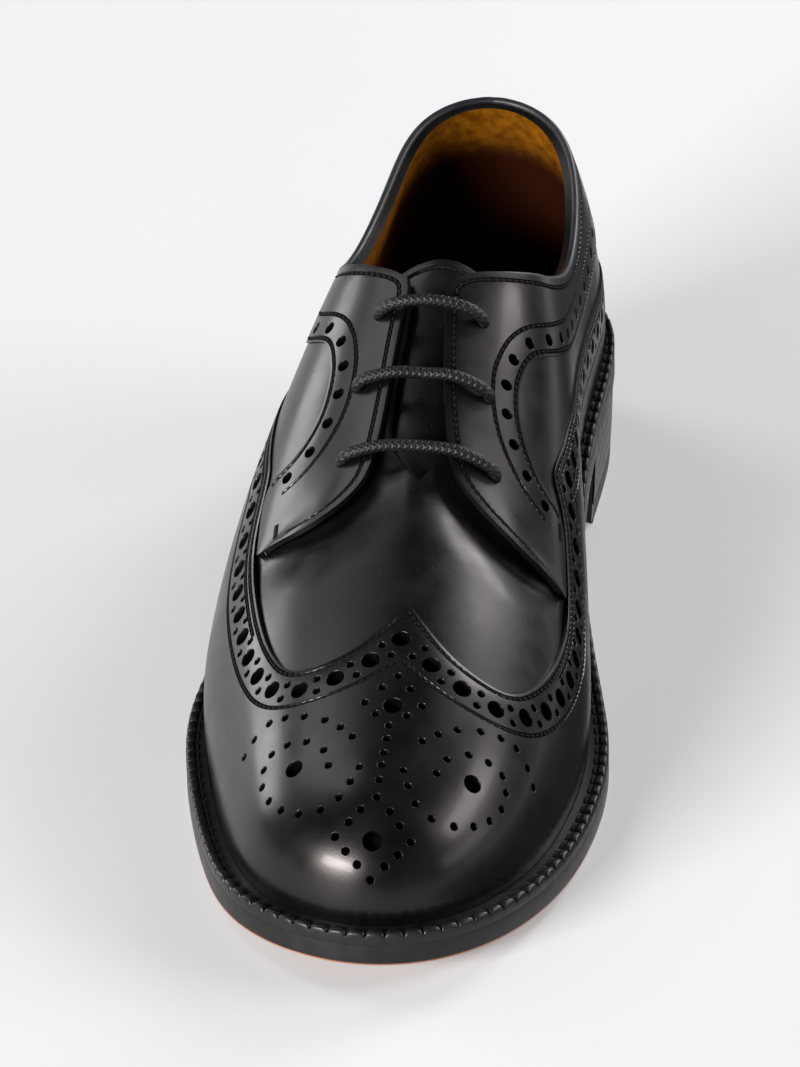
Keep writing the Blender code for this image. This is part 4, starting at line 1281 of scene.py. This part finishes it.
def build_lace():
    """One lace: a bar at each pair of eyelets, led on under the facings, ends hidden at the top pair."""
    top, middle, low = EYELETS
    route = lace_bar(0) + hidden_run(top, middle, 1) + lace_bar(1)[::-1] + hidden_run(middle, low, -1)
    route += lace_bar(2) + hidden_run(low, top, 1)
    route = np.array(route)
    spots = layer_point(*FLAT.find(route[:, :2]), -route[:, 2])
    run = run_of(spots)
    at = np.arange(0, run[-1], LACE_STEP)
    line = np.stack([spline(run, spots[:, k])(at) for k in range(3)], -1)
    hidden = np.interp(at, run, np.where(route[:, 2] == -HIDDEN_DEPTH, 1.0, 0.0))
    tangent = unit(np.gradient(line, axis=0))
    normal = last_normal(*SOLID.find(line))
    frames = [unit(np.cross(tangent[0], HEELWARD))]
    for step in tangent[1:]:
        frames.append(unit(frames[-1] - step * np.dot(frames[-1], step)))
    side = np.array(frames)
    over = np.cross(tangent, side)
    turn = np.linspace(0, 2 * math.pi, LACE_SIDES + 1)
    around, ahead = BRAID_STRANDS * turn[None, :], (2 * math.pi * at / BRAID_PITCH)[:, None]
    dark_paint = np.maximum(np.cos(around + ahead), np.cos(around - ahead))
    radius = LACE_RADIUS - BRAID_DEPTH + BRAID_DEPTH * dark_paint
    reach = side[:, None] * np.cos(turn)[None, :, None] + over[:, None] * np.sin(turn)[None, :, None]
    reach = reach * radius[..., None]
    squeeze = ((1 - HIDDEN_FLAT) * hidden)[:, None] * np.sum(reach * normal[:, None], axis=-1)
    reach = reach - squeeze[..., None] * normal[:, None]
    lace = laid_grid("lace", line[:, None] + reach, LACE_WELD)
    turned_out(lace)
    smooth(lace, ROUND_ANGLE)
    fitted(lace, "lace_cord", ("lace_bar_1", "lace_bar_2", "lace_bar_3"), WAXED)


# Sole

SWEEP_WELD = 0.004 * MM


def swept(name, rings):
    """Solid of closed rings, (rings, points, 3), of which the last meets the first."""
    obj = laid_grid(name, np.concatenate([rings, rings[:1]], 0).transpose(1, 0, 2), SWEEP_WELD)
    turned_out(obj)
    return obj


RIB_STEPS = 14
RIB_DEPTH = 1.2 * MM
RIB_LEAN = 0.3
WELT_ANGLE = 50
LOOP_POINTS = 4001

# Welt profile: distance from the edge, share of the height, share of the notch between two ribs
WELT_PROFILE = (
    (0.05 * MM, 0.0, 0.0), (0.0 * MM, 0.1, 0.0), (0.0 * MM, 0.55, 0.0), (0.03 * MM, 0.74, 0.35),
    (0.2 * MM, 0.92, 0.9), (0.6 * MM, 1.0, 1.0), (1.3 * MM, 1.0, 1.0), (1.9 * MM, 0.95, 0.9),
    (2.25 * MM, 0.84, 0.5), (2.5 * MM, 0.74, 0.0),
)

# Flat of the welt behind its ribs, which are narrowed where it has less room than this
WELT_ROOM = 3.4 * MM
WELT_BACK = 0.35 * MM
WELT_TUCK = 0.5 * MM
WELT_FLAT = ((0.85, 0.72), (1.0, 0.70))

# Welt stitches: size, place behind the ribs and share of the height
WELT_STITCH = stitch_shape(3.6 * MM, 1.1 * MM)
WELT_STITCH_ROW = 0.55 * MM
WELT_STITCH_LEVEL = 0.75


def build_welt():
    """Welt round the upper, its outer edge pressed into round ribs."""
    fine = np.linspace(0, 1, LOOP_POINTS)
    run = run_of(sole_edge(fine))
    ribs = round(run[-1] / RIB_PITCH)
    at = np.arange(ribs * RIB_STEPS) / (ribs * RIB_STEPS)
    loops = np.interp(at * run[-1], run, fine)
    from_bead = 1 - 2 * np.abs(np.mod(at * ribs, 1) - 0.5)
    valley = 1 - np.sqrt(1 - from_bead ** 3)
    near = EDGE(along_of(sole_edge(loops)[:, 1])) - WELT_BACK
    height = WELT_THICK + GAP
    leaned = near - lean(loops) * height
    fit = np.minimum(1, leaned / WELT_ROOM)
    notch = RIB_DEPTH * valley
    rows = [(near, 0.0, 0.0)]
    rows += [(distance * fit + RIB_LEAN * notch * dip, share, dip) for distance, share, dip in WELT_PROFILE]
    (inner, inner_level), (tucked_in, tucked_level) = WELT_FLAT
    rows += [(inner * leaned, inner_level, 0.0), (tucked_in * leaned + WELT_TUCK, tucked_level, 0.0)]
    rings = []
    for distance, share, dip in rows:
        plan = inset(loops, distance)
        ring = np.column_stack([plan, sole_top(plan[:, 1]) + share * height - notch * dip])
        rings.append(np.concatenate([ring, ring[:1]]))
    welt = swept("ribbed_welt", np.array(rings))
    smooth(welt, WELT_ANGLE)
    fitted(welt, "edge_leather", ("welt",), EDGE_BLACK)
    ridge = np.arange(0, ribs * RIB_STEPS, RIB_STEPS)
    plan = inset(loops[ridge], WELT_PROFILE[-1][0] * fit[ridge] + WELT_STITCH_ROW)
    spots = np.column_stack([plan, sole_top(plan[:, 1]) + WELT_STITCH_LEVEL * height])
    up = np.broadcast_to((0.0, 0.0, 1.0), spots.shape)
    along = unit(np.roll(spots, -1, axis=0) - np.roll(spots, 1, axis=0))
    fitted(copies("welt_stitches", WELT_STITCH, Frames(spots, along, up)), None, (), THREAD)


SOLE_ANGLE = 50
SOLE_RIM = 0.25 * MM
SOCK_RIM = 0.6 * MM
TAN_LINE = 0.4 * MM


def plan_slab(name, distance, low, steps, columns, rows, rim):
    """Sole layer over the whole outline: its lower face laid out, drawn up in steps, edges rounded."""
    loops = np.linspace(0, 0.5, columns)
    left, right = inset(loops, distance(loops)), inset(1 - loops, distance(1 - loops))
    plan = np.stack([left + (right - left) * share for share in np.linspace(0, 1, rows)], 1)
    obj = laid_grid(name, np.concatenate([plan, low(plan[..., 1])[..., None]], -1))
    edit(obj, *[(bpy.ops.mesh.extrude_region_move, {"TRANSFORM_OT_translate": {"value": (0, 0, step)}})
                for step in steps])
    turned_out(obj)
    rounded(obj, rim, SOLE_ANGLE)
    return obj


def build_outsole():
    """Leather outsole: dyed black edge, tan underside that shows as a thin line ahead of the heel."""
    sole = plan_slab("leather_outsole", lambda loop: 0 * loop, sole_under,
                     (TAN_LINE, OUTSOLE_THICK - TAN_LINE), columns=161, rows=21, rim=SOLE_RIM)
    fitted(sole, "sole_leather", ("outsole",), EDGE_BLACK, TAN)
    for face in sole.data.polygons:
        rise = face.center.z - float(sole_under(face.center.y))
        ahead = face.center.y < SOLE_LENGTH / 2 - HEEL_LENGTH
        face.material_index = 1 if rise < TAN_LINE and ahead else 0
    smooth(sole)


def build_insole():
    wall = VAMP_TOP + LINING_DEPTH
    sock = plan_slab("sock_insole", lambda loop: EDGE(along_of(sole_edge(loop)[:, 1])) + wall,
                     lambda y: sole_top(y) + GAP, (INSOLE_THICK,), columns=81, rows=13, rim=SOCK_RIM)
    smooth(sock)
    fitted(sock, "lining_leather", ("insole",), SOCK)


# Heel: lifts, the groove between two of them with its half height as a share, and the curve of the breast
HEEL_LIFTS = 4
LIFT_GROOVE = 0.25 * MM
GROOVE_SHARE = 0.012
BREAST_CURVE = 5 * MM
HEEL_POINTS = 40

# Rounding of a heel layer at its foot and at its top: share of the height, distance drawn in
HEEL_FOOT = ((0.0, 0.5 * MM), (0.02, 0.1 * MM))
HEEL_TOP = ((0.98, 0.1 * MM), (1.0, 0.4 * MM))

# How far the stack and the top piece are drawn in from the sole edge, at foot and top, and their gap
STACK_DRAW = (1.0 * MM, 0.3 * MM)
TOP_PIECE_DRAW = (1.3 * MM, 1.0 * MM)
TOP_PIECE_GAP = 0.1 * MM


def heel_block(name, low, high, draw_in, lifts):
    """Heel layer with the outline of the sole seat, a curved breast and a fine groove between its lifts."""
    turn = math.acos(1 - 2 * HEEL_LENGTH / SOLE_LENGTH) / (2 * math.pi)
    loops = np.concatenate([np.linspace(turn, 0, HEEL_POINTS), np.linspace(1, 1 - turn, HEEL_POINTS)[1:]])
    levels = list(HEEL_FOOT)
    for share in np.arange(1, lifts) / lifts:
        levels += [(share - GROOVE_SHARE, 0.0), (share, LIFT_GROOVE), (share + GROOVE_SHARE, 0.0)]
    levels += HEEL_TOP
    rings = []
    for share, groove in levels:
        rim = inset(loops, draw_in[0] + (draw_in[1] - draw_in[0]) * share + groove)
        rings.append(np.column_stack([rim, low(rim[:, 1]) + (high(rim[:, 1]) - low(rim[:, 1])) * share]))
    across = np.linspace(0, 1, len(loops))
    for base in (rings[-1], rings[0]):
        front = base[0] + (base[-1] - base[0]) * across[:, None]
        front[:, 1] += BREAST_CURVE * 4 * across * (1 - across)
        level = high if base is rings[-1] else low
        for share in (0.5, 1.0) if level is high else (1.0, 0.5):
            spots = base + (front - base) * share
            spots[:, 2] = level(spots[:, 1])
            rings.append(spots)
    obj = swept(name, np.array(rings))
    smooth(obj)
    return obj


def build_heel():
    stack = heel_block("heel_lifts", lambda y: 0 * y + TOP_PIECE_THICK, sole_under, STACK_DRAW, HEEL_LIFTS)
    fitted(stack, "edge_leather", ("heel_stack",), EDGE_BLACK)
    top = heel_block("rubber_top_piece", lambda y: 0 * y, lambda y: 0 * y + TOP_PIECE_THICK - TOP_PIECE_GAP,
                     TOP_PIECE_DRAW, 1)
    fitted(top, "heel_rubber", ("heel_top_piece",), RUBBER)


vamp = build_vamp()
build_wing(vamp)
for side in SIDES:
    build_facing(side, vamp)
    build_quarter(side)
smooth(vamp)
mark_shade_depth(vamp)
build_tongue()
build_collar_roll()
build_lace()
build_welt()
build_outsole()
build_insole()
build_heel()


# Floor, light and camera

FLOOR_SIZE = 8
FLOOR_GLOW = 0.2
PALE_TINT = (0.97, 0.98, 1.0, 1)

# World: its light on the shoe, and the pale backdrop that the camera sees past the floor
ROOM_TINT = (0.95, 0.97, 1.0, 1)
ROOM_LIGHT = 0.055
BACKDROP_LIGHT = 0.62

# Soft lights: direction from the shoe, distance, width and height, power in watts
Lamp = namedtuple("Lamp", "name direction distance size watts")
AIM_POINT = Vector((0.0, -0.05, 0.05))
LAMPS = (
    Lamp("front_left_strip", (-0.54, -0.77, 0.33), 3.0, (1.5, 0.45), 160),
    Lamp("right_box", (0.85, 0.16, 0.5), 1.8, (1.1, 0.45), 17),
    Lamp("right_low_box", (0.98, -0.09, 0.17), 1.8, (1.2, 0.3), 4),
    Lamp("right_back_box", (0.43, 0.75, 0.5), 1.8, (0.6, 0.8), 16),
    Lamp("left_low_box", (-0.85, 0.49, 0.21), 1.8, (0.8, 0.5), 9.5),
    Lamp("left_box", (-0.58, 0.33, 0.75), 1.8, (0.5, 1.0), 5),
)

# Camera: place, turn in degrees, focal length in pixels of a picture that is this many pixels high
CAMERA_EYE = (0.2322, -1.5969, 0.9928)
CAMERA_TURN = (59.424, 1.138, 7.795)
FOCAL = 7297
PICTURE_HEIGHT = 1067
SENSOR = 36

# Painted dark reflection: a dark sheet on the floor beside the inner side, which only the gloss of that side
# sees and which darkens it: reach across and along the shoe, height
DARK_SHEET_ACROSS = (0.057, 0.26)
DARK_SHEET_ALONG = (-0.17, 0.5)
DARK_SHEET_HEIGHT = 0.002


def build_floor():
    bpy.ops.object.select_all(action="DESELECT")
    bpy.ops.mesh.primitive_plane_add(size=FLOOR_SIZE)
    floor = added("floor")
    paint = surface("pale_floor", (0.53, 0.535, 0.54), (0.55, 0.555, 0.56), (0.55, 0.65), 400.0, 20.0, 0.01)
    shader = paint.node_tree.nodes["Principled BSDF"]
    shader.inputs["Emission Color"].default_value = PALE_TINT
    shader.inputs["Emission Strength"].default_value = FLOOR_GLOW
    paint.cycles.emission_sampling = "NONE"
    floor.data.materials.append(paint)


def build_dark_reflection_sheet():
    """Dark sheet that only the gloss of the inner side sees, a painted dark reflection."""
    points = np.array([[(x, y, DARK_SHEET_HEIGHT) for y in DARK_SHEET_ALONG] for x in DARK_SHEET_ACROSS])
    dark_sheet = laid_grid("painted_dark_reflection_sheet", points)
    dark_paint = surface("painted_dark_reflection", (0.004, 0.004, 0.004), (0.008, 0.008, 0.008), (0.8, 0.9), 30.0, 2.0, 0.2)
    dark_sheet.data.materials.append(dark_paint)
    dark_sheet.visible_camera = False
    dark_sheet.visible_shadow = False
    dark_sheet.visible_diffuse = False


def hang_lamp(lamp):
    """Large soft light that shines on the shoe from a direction."""
    way = Vector(lamp.direction).normalized()
    data = bpy.data.lights.new(lamp.name, "AREA")
    data.shape = "RECTANGLE"
    data.size, data.size_y = lamp.size
    data.energy = lamp.watts
    obj = bpy.data.objects.new(lamp.name, data)
    bpy.context.collection.objects.link(obj)
    obj.location = AIM_POINT + way * lamp.distance
    obj.rotation_euler = way.to_track_quat("Z", "Y").to_euler()


def build_world():
    """Dim light from all round, and a paler backdrop for the camera alone."""
    world = bpy.data.worlds.new("studio")
    world.use_nodes = True
    tree = world.node_tree
    room, backdrop = [wired(tree, "Background", {"Color": ROOM_TINT, "Strength": strength})["Background"]
                      for strength in (ROOM_LIGHT, BACKDROP_LIGHT)]
    seen = wired(tree, "LightPath", {})["Is Camera Ray"]
    both = wired(tree, "MixShader", {0: seen, 1: room, 2: backdrop})["Shader"]
    tree.links.new(both, tree.nodes["World Output"].inputs["Surface"])
    bpy.context.scene.world = world


def place_camera():
    data = bpy.data.cameras.new("camera")
    data.sensor_width = SENSOR
    data.lens = SENSOR * FOCAL / PICTURE_HEIGHT
    camera = bpy.data.objects.new("camera", data)
    bpy.context.collection.objects.link(camera)
    camera.location = CAMERA_EYE
    camera.rotation_euler = [math.radians(angle) for angle in CAMERA_TURN]
    bpy.context.scene.camera = camera
    bpy.context.scene.view_settings.view_transform = "Standard"


build_floor()
build_dark_reflection_sheet()
build_world()
for lamp in LAMPS:
    hang_lamp(lamp)
place_camera()
